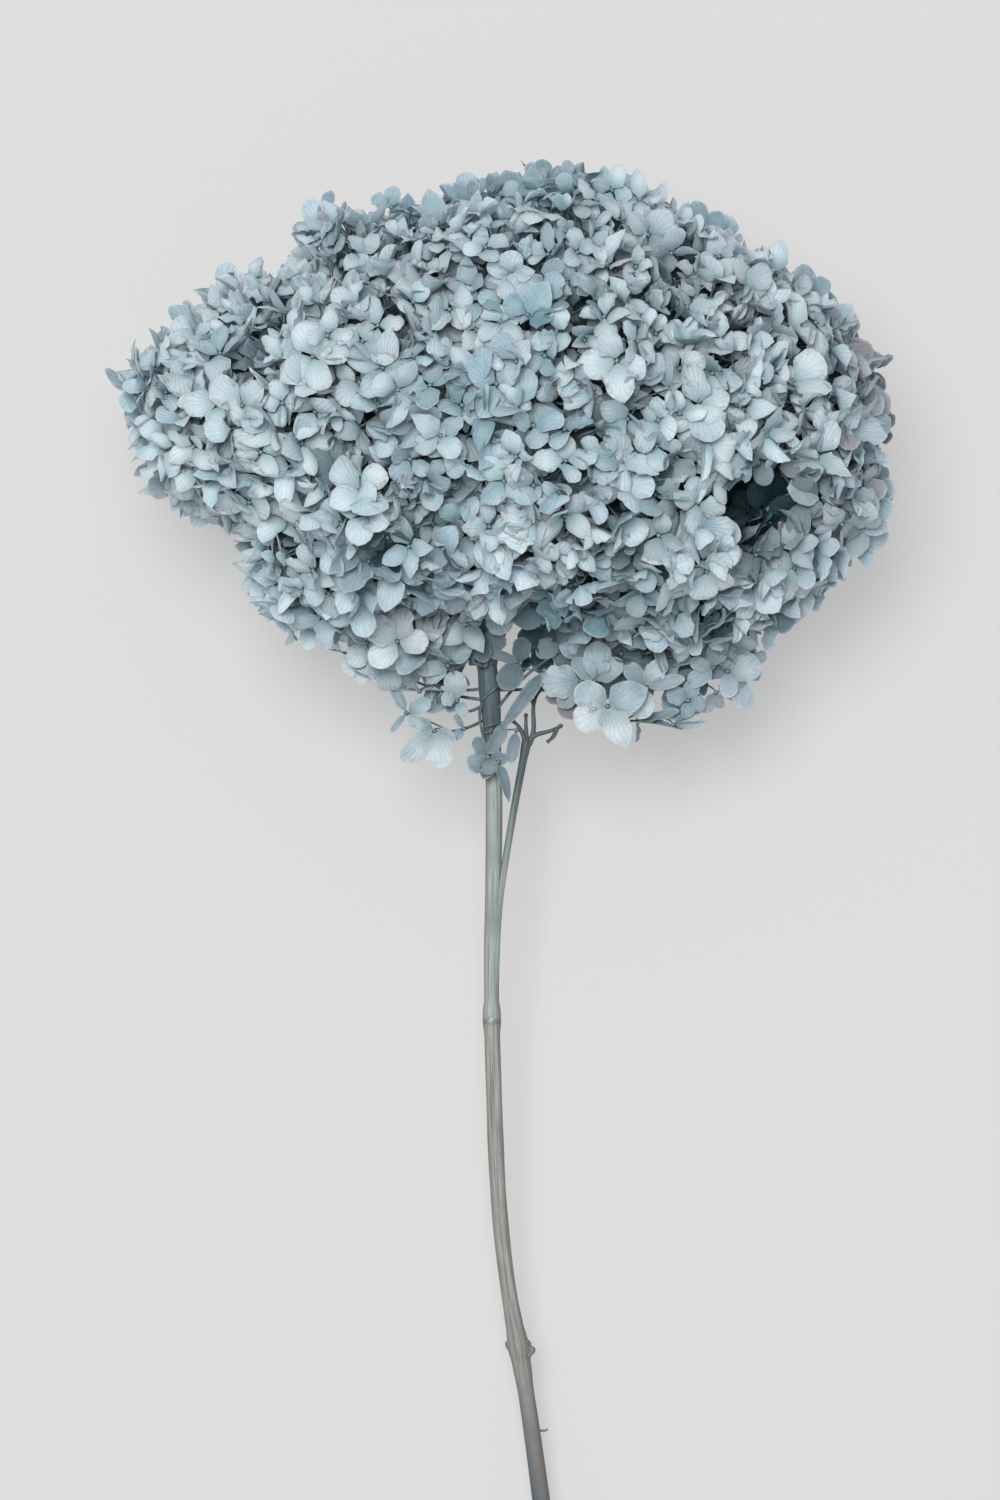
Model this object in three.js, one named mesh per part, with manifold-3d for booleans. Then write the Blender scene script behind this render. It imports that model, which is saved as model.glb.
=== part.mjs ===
// A preserved hydrangea: one woody stem with its round flower head, lying on a flat surface.
//
// Lengths are in millimetres. The plant is drawn in its own frame and then laid down as one group:
// U runs to the right, V runs up the stem from its cut end, and W runs from the back to the front.
// Laid down, U is the part's X, the stem points along Y, and W points up, tilted by the head's depth.

import * as THREE from "three";
import { mergeVertices } from "three/addons/utils/BufferGeometryUtils.js";
import Module from "manifold-3d";

const wasm = await Module();
wasm.setup();

// Head: its middle lies this far up the stem. Its outline, seen from the front, is a radius in
// millimetres at each angle in degrees, anticlockwise from the right.
const HEAD_MIDDLE_V = 384;
const HEAD_OUTLINE = [
  [0, 117], [12, 113], [24, 105], [36, 94], [46, 88], [60, 83], [80, 78], [98, 73], [108, 71],
  [118, 76], [126, 80], [132, 88], [144, 83], [156, 94], [167, 102], [174, 119], [186, 108],
  [203, 90], [218, 93], [228, 89], [243, 70], [268, 66], [298, 84], [320, 104], [334, 113],
  [345, 122], [360, 117],
];
const HEAD_DEPTH = { front: 84, back: 84 };
const HEAD_FULLNESS = 2.3;
const SWELL = { height: 4, across: 7, along: 9 };

// How the plant lies: the head sinks on to its pressed florets, and the cut end touches the surface.
const HEAD_REST_HEIGHT = 77;
const CUT_END_RADIUS = 2.7;
const SURFACE_GAP = 0.4;

// Florets: four sepals round an eye, on a stalk that runs down into the core of the head.
const HEAD_SEPAL = { length: 16.5, halfWidth: 6.8 };
const SPRAY_SEPAL = { length: 12, halfWidth: 5.2 };
const SEPAL_THICKNESS = 1.3;
const SHOULDER = 0.62;
const SEPAL_RISE = { low: -1, high: 6.5 };
const EYE_RADIUS = 2.2;
const EYE_DIP = 0.7;
const LEAN = 0.42;
const SIZE_SPREAD = 0.08;
const FLORET_SPACING = 19.5;
const FLORET_STAND_IN = 6;
const FLORET_TRIALS = 5000;
const HEAD_SEED = 12;
const STALK_DEPTH = 30;
const SPRAY_STALK_DEPTH = 8;

// Florets pressed flat on the surface, as [x, y, turn in degrees] round the point under the head.
const PRESSED_FLORETS = [[-7, -2.5, 0], [31, 13, 30], [-32, 22, 55], [27, -25, 70], [-38, -21, 15]];

// Core: the packed inner stalks, as one closed body that the florets stand out of.
const CORE_DEPTH = 18;
const CORE_DETAIL = 5;

// Clearances between touching pieces, and of the head's florets from the stem and the low sprays.
const SEAT_GAP = 0.3;
const STEM_CLEARANCE = 15;
const SPRAY_CLEARANCE = 24;

// Stem: points up its middle as [u, v], and its radius at heights up it, swollen at two nodes.
const STEM_PATH = [
  [19.5, 0], [12.3, 60], [7.1, 96.6], [5.7, 105], [4.2, 113], [-0.2, 147], [-2, 187],
  [-2.5, 205], [-1.9, 255], [-3, 300], [-4.2, 315], [-4, 350],
];
const STEM_RADII = [
  [0, CUT_END_RADIUS], [60, 2.65], [92, 2.45], [101, 2.8], [107, 3.4], [112, 2.7], [120, 2.35],
  [170, 2.4], [200, 2.35], [206, 2.8], [211, 2.35], [255, 2.45], [285, 2.5], [303, 3.2],
  [318, 2.4], [350, 2],
];
const STEM_RING_STEP = 13;
const STEM_SIDES = 10;
const STEM_SOCKET_RADIUS = 2.7;

// Knobs on the stem: a bud at each node and the stub of a fallen leaf stalk, as [u, v, w].
const STEM_KNOBS = [
  { at: [6.6, 105, 0.5], towards: [1, 0.75, 0.2], length: 5, radius: 1.5 },
  { at: [-2.8, 204, 1.2], towards: [0, 0.5, 1], length: 3.4, radius: 1.1 },
  { at: [10.6, 81, 0], towards: [1, 0.3, 0], length: 4.6, radius: 0.5 },
];
const KNOB_SHAPE = [[0, 0], [1, 0.3], [0.7, 0.75], [0, 1]];
const KNOB_SIDES = 6;

// Side shoot: a ridge up the stem from the upper node that leaves it and forks under the head.
const SHOOT_PATH = [
  [0.3, 208, 2.2], [0.2, 224, 2.2], [0.2, 240, 2.4], [2.1, 254.7, 3], [4.8, 270.6, 3.4],
  [6.6, 280.2, 3.5], [8.1, 288, 3.5],
];
const SHOOT_RADIUS = { root: 0.9, tip: 1.15 };
const SHOOT_TWIGS = [
  [[7.8, 286, 3.5], [9, 288.6, 3.6], [13.5, 290.1, 4], [18.9, 292.5, 4.6]],
  [[15.6, 290.8, 4.2], [16.2, 289.6, 4], [14.4, 288.2, 4.2]],
  [[8, 286, 3.5], [10.1, 291, 3.3], [10, 298.2, 3], [12.5, 304.6, 2.4], [12, 307, 2.2]],
  [[8.1, 286, 3.5], [7.2, 288, 3.8], [3.8, 293.6, 5]],
  [[8.2, 286, 3.5], [7.8, 291, 2.8], [7.8, 296, 2.4]],
];
const SHOOT_TWIG_RADIUS = { root: 0.9, tip: 0.55 };

// Sprays: low branches from the stem that hang under the head. Each floret has its eye and the joint
// on a branch where its own stalk starts.
const LEFT_SPRAY = {
  seed: 11,
  branches: [
    [[-4.5, 300, 0], [-14, 301.5, 0], [-24, 305, -1], [-34, 308, -6]],
    [[-9, 300.5, 0], [-10, 295, -0.5], [-17, 291.5, -1]],
  ],
  florets: [
    { eye: [-20.5, 292, 6], joint: [-16, 291.5, -1] },
    { eye: [-15, 311, 13], joint: [-12, 301.4, 0] },
    { eye: [-25.5, 305, 17], joint: [-20, 303.4, -0.5] },
    { eye: [-33, 314, 7], joint: [-27, 306, -2] },
    { eye: [-42, 311, -5], joint: [-33, 307.8, -5.6] },
  ],
};
const RIGHT_SPRAY = {
  seed: 12,
  branches: [
    [[-2, 303, 0], [12, 303, 0], [30, 302, 0], [46, 303, -1], [58, 305, -6]],
  ],
  florets: [
    { eye: [22, 309, 10], joint: [15, 302.9, 0] },
    { eye: [33, 299.5, 15], joint: [28, 302, 0] },
    { eye: [42, 312, 18], joint: [36, 302.3, -0.3] },
    { eye: [47, 298.5, 7], joint: [42, 302.6, -0.6] },
    { eye: [58, 315, 12], joint: [47, 303.2, -1.2] },
    { eye: [60, 303, 2], joint: [52, 304, -3.2] },
    { eye: [71, 309, -6], joint: [57, 304.8, -5.5] },
  ],
};
const STEM_SPRAY = {
  seed: 13,
  branches: [
    [[-4, 300, 0], [-6, 297, 4.4], [-5.5, 291, 4.6]],
  ],
  florets: [
    { eye: [-1, 299, 10.5], joint: [-5.8, 296.5, 4.5] },
    { eye: [-2.5, 284, 10], joint: [-5.5, 291.5, 4.6] },
  ],
};
const SPRAY_FACING = { spread: 1 / 63, droop: -0.39, lean: 0.22 };
const BRANCH_RADIUS = { root: 0.95, tip: 0.8 };
const FLORET_STALK_RADIUS = { root: 0.7, tip: 0.7 };

// Rays: the branches that spread from the top of the stem into the core of the head.
const RAY_COUNT = 6;
const RAY_RADIUS = { root: 1.7, tip: 1.2 };
const RAY_AXIS_U = -4;
const RAY_STATIONS = [{ v: 304, u: 0, w: 0 }, { v: 322, u: 14, w: 11 }, { v: 354, u: 40, w: 30 }];

const SEPAL_BLUE = new THREE.MeshStandardMaterial({ color: 0xa4b8c0, roughness: 0.8, metalness: 0 });
const SPRAY_BLUE = new THREE.MeshStandardMaterial({ color: 0xb1c1c9, roughness: 0.8, metalness: 0 });
const STEM_SAGE = new THREE.MeshStandardMaterial({ color: 0x9ba49f, roughness: 0.7, metalness: 0 });
const SHOOT_SLATE = new THREE.MeshStandardMaterial({ color: 0x5c6866, roughness: 0.75, metalness: 0 });

// Fine detail under this size is merged away, and slopes are measured over a step in radians.
const SLIVER = 0.004;
const SLOPE_STEP = 0.06;

const QUARTER_TURN = Math.PI / 2;
const FULL_TURN = 2 * Math.PI;
const GOLDEN_TURN = Math.PI * (3 - Math.sqrt(5));
const SIDEWAYS = new THREE.Vector3(1, 0, 0);
const TO_FRONT = new THREE.Vector3(0, 0, 1);

const vector = (numbers) => new THREE.Vector3(...numbers);

// A direction that is never close to the given one, to build a frame on.
const referenceFor = (direction) => (Math.abs(direction.z) > 0.8 ? SIDEWAYS : TO_FRONT);

// The lying plant: a tilt drops the cut end to the surface while the head rests on its florets.
const tilt = Math.asin((HEAD_REST_HEIGHT - CUT_END_RADIUS) / HEAD_MIDDLE_V);
const lying = new THREE.Group();
lying.rotation.x = tilt;
lying.position.y = -HEAD_MIDDLE_V * Math.cos(tilt);
lying.position.z = HEAD_REST_HEIGHT - HEAD_MIDDLE_V * Math.sin(tilt);
lying.updateMatrixWorld();

const headMiddle = new THREE.Vector3(0, HEAD_MIDDLE_V, 0);
const surfaceUp = new THREE.Vector3(0, Math.sin(tilt), Math.cos(tilt));
const heightOf = (point) => lying.localToWorld(point.clone()).z;

// A repeatable run of numbers from 0 to 1.
function randomRun(seed) {
  let state = seed;
  return () => {
    state = (state + 0x6d2b79f5) | 0;
    let mixed = Math.imul(state ^ (state >>> 15), 1 | state);
    mixed = (mixed + Math.imul(mixed ^ (mixed >>> 7), 61 | mixed)) ^ mixed;
    return ((mixed ^ (mixed >>> 14)) >>> 0) / 4294967296;
  };
}

// Reads a rising list of [place, value] pairs at any place, easing from each value to the next.
function readList(list, place) {
  const after = list.findIndex(([at]) => at >= place);
  if (after <= 0) {
    return after === 0 ? list[0][1] : list[list.length - 1][1];
  }
  const [low, start] = list[after - 1];
  const [high, end] = list[after];
  return THREE.MathUtils.lerp(start, end, THREE.MathUtils.smoothstep(place, low, high));
}

// A closed three.js geometry as a solid that can be joined and cut.
function solidOf(geometry) {
  const bare = new THREE.BufferGeometry();
  bare.setAttribute("position", geometry.getAttribute("position"));
  bare.setIndex(geometry.getIndex());
  const merged = mergeVertices(bare, 1e-4);
  const corners = merged.getIndex().array;
  const whole = [];
  for (let i = 0; i < corners.length; i += 3) {
    const [a, b, c] = corners.slice(i, i + 3);
    if (a !== b && b !== c && c !== a) {
      whole.push(a, b, c);
    }
  }
  return new wasm.Manifold(new wasm.Mesh({
    numProp: 3,
    vertProperties: new Float32Array(merged.getAttribute("position").array),
    triVerts: new Uint32Array(whole),
  }));
}

// A named mesh from the largest body of a solid: loose scraps and slivers from joining are dropped.
function meshOf(name, solid, material) {
  const body = solid.decompose().reduce((best, next) => (next.volume() > best.volume() ? next : best));
  const { numProp, numVert, vertProperties, triVerts } = body.simplify(SLIVER).getMesh();
  const positions = new Float32Array(numVert * 3);
  for (let i = 0; i < numVert; i++) {
    positions.set(vertProperties.subarray(i * numProp, i * numProp + 3), i * 3);
  }
  const geometry = new THREE.BufferGeometry();
  geometry.setAttribute("position", new THREE.BufferAttribute(positions, 3));
  geometry.setIndex(new THREE.BufferAttribute(new Uint32Array(triVerts), 1));
  geometry.computeVertexNormals();
  const mesh = new THREE.Mesh(geometry, material);
  mesh.name = name;
  return mesh;
}

// A round bar: a lathe profile of [distance, radius] bent along a curve through some points.
function bentBar(points, radii, sides) {
  const curve = new THREE.CatmullRomCurve3(points.map(vector));
  const reach = radii[radii.length - 1][0];
  const profile = [[0, 0], ...radii, [reach, 0]].map(([at, radius]) => new THREE.Vector2(radius, at));
  const lathe = new THREE.LatheGeometry(profile, sides);
  const reference = referenceFor(curve.getPointAt(1).sub(curve.getPointAt(0)).normalize());
  const place = lathe.getAttribute("position");
  for (let i = 0; i < place.count; i++) {
    const along = place.getY(i) / reach;
    const tangent = curve.getTangentAt(along);
    const aside = new THREE.Vector3().crossVectors(tangent, reference).normalize();
    const front = new THREE.Vector3().crossVectors(aside, tangent);
    const spot = curve.getPointAt(along);
    spot.addScaledVector(aside, place.getX(i)).addScaledVector(front, place.getZ(i));
    place.setXYZ(i, spot.x, spot.y, spot.z);
  }
  return solidOf(lathe);
}

// A thin bar through a few points, tapering from its root to its tip.
function twig(points, radius, sides = 5) {
  const last = points.length - 1;
  const radii = points.map((_, i) => [i, THREE.MathUtils.lerp(radius.root, radius.tip, i / last)]);
  return bentBar(points, radii, sides);
}

// A pointed knob that stands out of the stem.
function knob({ at, towards, length, radius }) {
  const profile = KNOB_SHAPE.map(([out, along]) => new THREE.Vector2(out * radius, along * length));
  const lathe = new THREE.LatheGeometry(profile, KNOB_SIDES);
  const upright = new THREE.Vector3(0, 1, 0);
  lathe.applyQuaternion(new THREE.Quaternion().setFromUnitVectors(upright, vector(towards).normalize()));
  lathe.translate(...at);
  return solidOf(lathe);
}

// The stem as a plain bar, thickened by some allowance.
function stemBar(allowance) {
  const reach = STEM_RADII[STEM_RADII.length - 1][0];
  const stepCount = Math.floor(reach / STEM_RING_STEP);
  const steps = Array.from({ length: stepCount }, (_, i) => (i + 1) * STEM_RING_STEP);
  const heights = [...new Set([...STEM_RADII.map(([at]) => at), ...steps])].sort((a, b) => a - b);
  const radii = heights.map((at) => [at, readList(STEM_RADII, at) + allowance]);
  return bentBar(STEM_PATH.map(([u, v]) => [u, v, 0]), radii, STEM_SIDES);
}

// The room that other pieces leave for the stem, with a round end over its top.
function stemRoom() {
  const [u, v] = STEM_PATH[STEM_PATH.length - 1];
  const end = new THREE.SphereGeometry(STEM_SOCKET_RADIUS, STEM_SIDES, STEM_SIDES / 2).translate(u, v, 0);
  return stemBar(SEAT_GAP).add(solidOf(end));
}

// Radius of the head's surface in a direction: its outline in the plane of the stem, rounded over
// to its front and back depths, with low swells over the separate clusters.
function headRadius(direction) {
  const angle = THREE.MathUtils.radToDeg(Math.atan2(direction.y, direction.x));
  const outline = readList(HEAD_OUTLINE, (angle + 360) % 360);
  const depth = direction.z > 0 ? HEAD_DEPTH.front : HEAD_DEPTH.back;
  const flat = Math.hypot(direction.x, direction.y) / outline;
  const deep = Math.abs(direction.z) / depth;
  const round = (flat ** HEAD_FULLNESS + deep ** HEAD_FULLNESS) ** (-1 / HEAD_FULLNESS);
  const swell = Math.sin(SWELL.across * direction.x + 2) * Math.cos(SWELL.along * direction.y + 1);
  return round + SWELL.height * Math.abs(direction.z) * swell;
}

function headPoint(direction, sunk) {
  return headMiddle.clone().addScaledVector(direction, headRadius(direction) - sunk);
}

// The way that the head's surface faces in a direction, from two short steps along the surface.
function headNormal(direction) {
  const first = new THREE.Vector3().crossVectors(direction, referenceFor(direction)).normalize();
  const second = new THREE.Vector3().crossVectors(direction, first);
  const [along, over] = [first, second].map((way) => {
    const [ahead, behind] = [SLOPE_STEP, -SLOPE_STEP].map((step) =>
      headPoint(direction.clone().addScaledVector(way, step).normalize(), 0));
    return ahead.sub(behind);
  });
  return along.cross(over).normalize();
}

// One floret as a closed body: four thin sepals, each with two shoulders and a tip, meet at a sunk
// eye, and a stalk tapers from between them to its end. What would pass the surface is lifted.
function floretSolid({ eye, outward, turn, sepal, rises, dip, stalkEnd, gap }) {
  const across = new THREE.Vector3().crossVectors(referenceFor(outward), outward).normalize();
  const upward = new THREE.Vector3().crossVectors(outward, across);
  const spot = (angle, reach, aside, height) => {
    const x = reach * Math.cos(angle) - aside * Math.sin(angle);
    const y = reach * Math.sin(angle) + aside * Math.cos(angle);
    return eye.clone().addScaledVector(across, x).addScaledVector(upward, y).addScaledVector(outward, height);
  };
  const points = [spot(0, 0, 0, -dip)];
  const faces = [];
  rises.forEach((rise, i) => {
    const angle = turn + i * QUARTER_TURN;
    const shoulder = SHOULDER * sepal.length;
    const belly = Math.min(rise * 0.5, rise * SHOULDER - dip * (1 - SHOULDER)) - SEPAL_THICKNESS;
    points.push(
      spot(angle - QUARTER_TURN / 2, EYE_RADIUS, 0, 0),
      spot(angle, shoulder, -sepal.halfWidth, rise * 0.5),
      spot(angle, sepal.length, 0, rise),
      spot(angle, shoulder, sepal.halfWidth, rise * 0.5),
      spot(angle, shoulder, 0, belly),
    );
    const [notch, left, tip, right, under] = [1, 2, 3, 4, 5].map((offset) => offset + 5 * i);
    const nextNotch = 1 + 5 * ((i + 1) % rises.length);
    const end = 1 + 5 * rises.length;
    faces.push(
      [0, notch, left], [0, left, tip], [0, tip, right], [0, right, nextNotch],
      [under, left, notch], [under, tip, left], [under, right, tip], [under, nextNotch, right],
      [under, notch, nextNotch], [end, nextNotch, notch],
    );
  });
  const lift = Math.max(0, gap - Math.min(...points.map(heightOf)));
  points.forEach((point) => point.addScaledVector(surfaceUp, lift));
  const geometry = new THREE.BufferGeometry().setFromPoints([...points, stalkEnd]);
  geometry.setIndex(faces.flat());
  return solidOf(geometry);
}

// Places for the head's florets: directions spread evenly and taken in a seeded order, each kept if
// it lies clear of those before it, of the stem, of the low sprays and of the pressed florets.
function floretPlaces(taken, random) {
  const order = Array.from({ length: FLORET_TRIALS }, (_, i) => [random(), i]).sort((a, b) => a[0] - b[0]);
  const places = [];
  for (const [, i] of order) {
    const up = 1 - (2 * i + 1) / FLORET_TRIALS;
    const level = Math.sqrt(1 - up * up);
    const turn = i * GOLDEN_TURN;
    const direction = new THREE.Vector3(level * Math.cos(turn), up, level * Math.sin(turn));
    const eye = headPoint(direction, FLORET_STAND_IN);
    const nearStem = direction.y < 0 && Math.hypot(eye.x - RAY_AXIS_U, eye.z) < STEM_CLEARANCE;
    if (!nearStem && taken.every(({ at, clear }) => at.distanceTo(eye) > clear)) {
      places.push({ direction, eye });
      taken.push({ at: eye, clear: FLORET_SPACING });
    }
  }
  return places;
}

// A head floret faces outward with a small lean, and its sepals rise by different amounts.
function headFloret({ direction, eye }, random) {
  const lean = new THREE.Vector3(random() - 0.5, random() - 0.5, random() - 0.5).multiplyScalar(2 * LEAN);
  const scale = 1 + SIZE_SPREAD * (2 * random() - 1);
  return floretSolid({
    eye,
    outward: headNormal(direction).add(lean).normalize(),
    turn: FULL_TURN * random(),
    sepal: { length: HEAD_SEPAL.length * scale, halfWidth: HEAD_SEPAL.halfWidth * scale },
    rises: Array.from({ length: 4 }, () => THREE.MathUtils.lerp(SEPAL_RISE.low, SEPAL_RISE.high, random())),
    dip: EYE_DIP,
    stalkEnd: eye.clone().addScaledVector(direction, -STALK_DEPTH),
    gap: SURFACE_GAP,
  });
}

// A pressed floret lies flat on the surface under the head, and its stalk rises into the core.
function pressedFloret([x, y, turn]) {
  const eye = lying.worldToLocal(new THREE.Vector3(x, y, 0));
  const inward = headMiddle.clone().sub(eye).normalize();
  return floretSolid({
    eye,
    outward: surfaceUp.clone().negate(),
    turn: THREE.MathUtils.degToRad(turn),
    sepal: HEAD_SEPAL,
    rises: [0, 0, 0, 0],
    dip: 0,
    stalkEnd: eye.clone().addScaledVector(inward, STALK_DEPTH),
    gap: 0,
  });
}

// One spray: its branches, and its florets on their own stalks, cut to fit round the stem.
function spraySolid({ branches, florets, seed }) {
  const random = randomRun(seed);
  const pieces = branches.map((points) => twig(points, BRANCH_RADIUS));
  for (const { eye, joint } of florets) {
    const middle = vector(eye);
    const outward = new THREE.Vector3(middle.x * SPRAY_FACING.spread, SPRAY_FACING.droop, 1);
    outward.x += SPRAY_FACING.lean * (2 * random() - 1);
    outward.y += SPRAY_FACING.lean * (2 * random() - 1);
    outward.normalize();
    const seat = middle.clone().addScaledVector(outward, -SPRAY_STALK_DEPTH / 2);
    pieces.push(twig([joint, seat.toArray()], FLORET_STALK_RADIUS));
    pieces.push(floretSolid({
      eye: middle,
      outward,
      turn: FULL_TURN * random(),
      sepal: SPRAY_SEPAL,
      rises: Array.from({ length: 4 }, () => THREE.MathUtils.lerp(0, SEPAL_RISE.high, random())),
      dip: EYE_DIP,
      stalkEnd: middle.clone().addScaledVector(outward, -SPRAY_STALK_DEPTH),
      gap: SURFACE_GAP,
    }));
  }
  return wasm.Manifold.union(pieces);
}

// The core follows the head's surface at a depth under it.
function coreSolid() {
  const core = new THREE.IcosahedronGeometry(1, CORE_DETAIL);
  const place = core.getAttribute("position");
  for (let i = 0; i < place.count; i++) {
    const spot = headPoint(new THREE.Vector3().fromBufferAttribute(place, i).normalize(), CORE_DEPTH);
    place.setXYZ(i, spot.x, spot.y, spot.z);
  }
  return solidOf(core);
}

function raySolids() {
  return Array.from({ length: RAY_COUNT }, (_, i) => {
    const turn = (FULL_TURN * i) / RAY_COUNT;
    const place = ({ v, u, w }) => [RAY_AXIS_U + u * Math.cos(turn), v, w * Math.sin(turn)];
    return twig(RAY_STATIONS.map(place), RAY_RADIUS);
  });
}

function headSolid() {
  const random = randomRun(HEAD_SEED);
  const taken = PRESSED_FLORETS.map(([x, y]) => ({
    at: lying.worldToLocal(new THREE.Vector3(x, y, 0)),
    clear: FLORET_SPACING,
  }));
  for (const { eye } of [...LEFT_SPRAY.florets, ...RIGHT_SPRAY.florets, ...STEM_SPRAY.florets]) {
    taken.push({ at: vector(eye), clear: SPRAY_CLEARANCE });
  }
  const florets = floretPlaces(taken, random).map((place) => headFloret(place, random));
  const pressed = PRESSED_FLORETS.map(pressedFloret);
  return wasm.Manifold.union([coreSolid(), ...raySolids(), ...pressed, ...florets]);
}

const room = stemRoom();
const stem = wasm.Manifold.union([stemBar(0), ...STEM_KNOBS.map(knob)]);
const shoot = wasm.Manifold.union([
  twig(SHOOT_PATH, SHOOT_RADIUS, 7),
  ...SHOOT_TWIGS.map((points) => twig(points, SHOOT_TWIG_RADIUS)),
]);

lying.add(
  meshOf("stem", stem, STEM_SAGE),
  meshOf("side_shoot", shoot.subtract(room), SHOOT_SLATE),
  meshOf("left_spray", spraySolid(LEFT_SPRAY).subtract(room), SPRAY_BLUE),
  meshOf("right_spray", spraySolid(RIGHT_SPRAY).subtract(room), SPRAY_BLUE),
  meshOf("stem_spray", spraySolid(STEM_SPRAY).subtract(room), SPRAY_BLUE),
  meshOf("flower_head", headSolid().subtract(room), SEPAL_BLUE),
);

const hydrangea = new THREE.Group();
hydrangea.add(lying);

export default hydrangea;
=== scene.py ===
"""Dresses a preserved hydrangea stem that lies on a pale floor, and sets up its studio.

The plant is drawn in millimetres in its own frame: U to the right, V up the stem from its cut end,
and W from the back of the plant to its front. PlantFrame.place lays it down and turns it to metres.
"""

import sys

import logging
import math
from dataclasses import dataclass, field
from enum import Enum

import bpy
import numpy as np
from mathutils import Matrix


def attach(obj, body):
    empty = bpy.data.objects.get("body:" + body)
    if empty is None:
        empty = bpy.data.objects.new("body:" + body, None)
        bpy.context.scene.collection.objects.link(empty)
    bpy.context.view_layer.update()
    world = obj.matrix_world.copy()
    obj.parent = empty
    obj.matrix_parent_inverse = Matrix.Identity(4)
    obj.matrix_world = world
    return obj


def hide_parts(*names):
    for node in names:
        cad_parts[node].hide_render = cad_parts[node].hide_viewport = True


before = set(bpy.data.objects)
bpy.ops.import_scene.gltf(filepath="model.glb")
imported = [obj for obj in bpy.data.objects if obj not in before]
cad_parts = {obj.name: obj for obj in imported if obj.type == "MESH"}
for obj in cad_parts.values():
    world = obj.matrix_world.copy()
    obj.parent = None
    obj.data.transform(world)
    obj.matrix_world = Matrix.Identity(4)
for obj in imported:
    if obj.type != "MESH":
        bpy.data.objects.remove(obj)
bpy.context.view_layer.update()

LOG = logging.getLogger("hydrangea")
MM = 0.001
GOLDEN_TURN = math.pi * (3 - math.sqrt(5))
Table = tuple[tuple[float, ...], ...]
Point = tuple[float, float, float]


def unit(vectors: np.ndarray) -> np.ndarray:
    """Each vector divided by its length."""
    return vectors / np.maximum(np.linalg.norm(vectors, axis=-1, keepdims=True), 1e-9)


def square_to(ways: np.ndarray) -> tuple[np.ndarray, np.ndarray]:
    """Two unit vectors for each way, square to it and to each other."""
    first = unit(np.cross(ways, np.eye(3)[np.argmin(np.abs(ways), axis=-1)]))
    return first, np.cross(ways, first)


def as_rows(shape: tuple[int, ...], *values: np.ndarray | float) -> np.ndarray:
    """Three values for each point of a shape, as rows of three."""
    return np.stack([np.broadcast_to(value, shape) for value in values], axis=-1).reshape(-1, 3)


def own_numbers(count: int) -> np.ndarray:
    """A number from 0 to 1 for each of some things, unlike its neighbour's: the fraction of 0.618 i."""
    return np.modf(np.arange(count) * 0.618)[0]


def ease(share: np.ndarray) -> np.ndarray:
    """3 s squared minus 2 s cubed, with s held between 0 and 1."""
    held = np.clip(share, 0, 1)
    return held * held * (3 - 2 * held)


def read_table(table: Table, places: np.ndarray) -> np.ndarray:
    """Reads a rising table at any places, easing from each value to the next.

    Args:
        table: Pairs of a place and the value there.
        places: Where to read.

    Returns:
        The value at each place: start + (end - start) * ease(share of the way between two pairs).
    """
    at, value = np.array(table, float).T
    after = np.clip(np.searchsorted(at, places), 1, len(at) - 1)
    share = (places - at[after - 1]) / (at[after] - at[after - 1])
    return value[after - 1] + (value[after] - value[after - 1]) * ease(share)


def drift(places: np.ndarray, wavelength: float, seed: int) -> np.ndarray:
    """A smooth uneven field in space: the mean of eight sine waves in seeded directions.

    Args:
        places: Points, in the unit of the wavelength.
        wavelength: The mean distance from crest to crest.
        seed: Picks the waves.

    Returns:
        A value from about -1 to 1 at each point.
    """
    rng = np.random.default_rng(seed)
    ways = unit(rng.normal(size=(8, 3))) * rng.uniform(0.7, 1.4, (8, 1)) * 2 * math.pi / wavelength
    phases = rng.uniform(0, 2 * math.pi, 8)
    return np.sin(places @ ways.T + phases).mean(axis=-1) * 2


def linear(code: str) -> tuple[float, float, float, float]:
    """An sRGB hex colour as linear red, green, blue and alpha."""
    parts = [int(code[i : i + 2], 16) / 255 for i in (1, 3, 5)]
    return (*[p / 12.92 if p <= 0.04045 else ((p + 0.055) / 1.055) ** 2.4 for p in parts], 1.0)


@dataclass(frozen=True)
class PlantFrame:
    """How the plant lies: its head rests on its back florets and its cut end on the floor.

    The tilt drops the cut end from the head's middle height to the stem's radius.
    """

    head_height: float = 384.0
    rest_height: float = 77.0
    cut_radius: float = 2.7
    press_height: float = 6.0

    @property
    def tilt(self) -> float:
        """The stem's slope from the floor, in radians."""
        return math.asin((self.rest_height - self.cut_radius) / self.head_height)

    def turn(self, vectors: np.ndarray) -> np.ndarray:
        """Turns plant directions into row directions, about U by the tilt."""
        u, v, w = np.moveaxis(np.asarray(vectors, float), -1, 0)
        lean, rise = math.cos(self.tilt), math.sin(self.tilt)
        return np.stack([u, v * lean - w * rise, v * rise + w * lean], axis=-1)

    def place(self, points: np.ndarray, pressed: bool = True) -> np.ndarray:
        """Lays plant points down in the row frame.

        Under the press height h, a height z becomes h * exp((z - h) / h), so that soft petals which
        would pass the floor are squeezed flat on it and keep their order.

        Args:
            points: Plant points in millimetres.
            pressed: Whether the floor presses them.

        Returns:
            Row points in metres.
        """
        laid = self.turn(points)
        laid[..., 1] -= self.head_height * math.cos(self.tilt)
        laid[..., 2] += self.cut_radius
        if pressed:
            low = self.press_height
            squeezed = low * np.exp(np.minimum(laid[..., 2] - low, 0) / low)
            laid[..., 2] = np.where(laid[..., 2] < low, squeezed, laid[..., 2])
        return laid * MM


LYING = PlantFrame()


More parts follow.
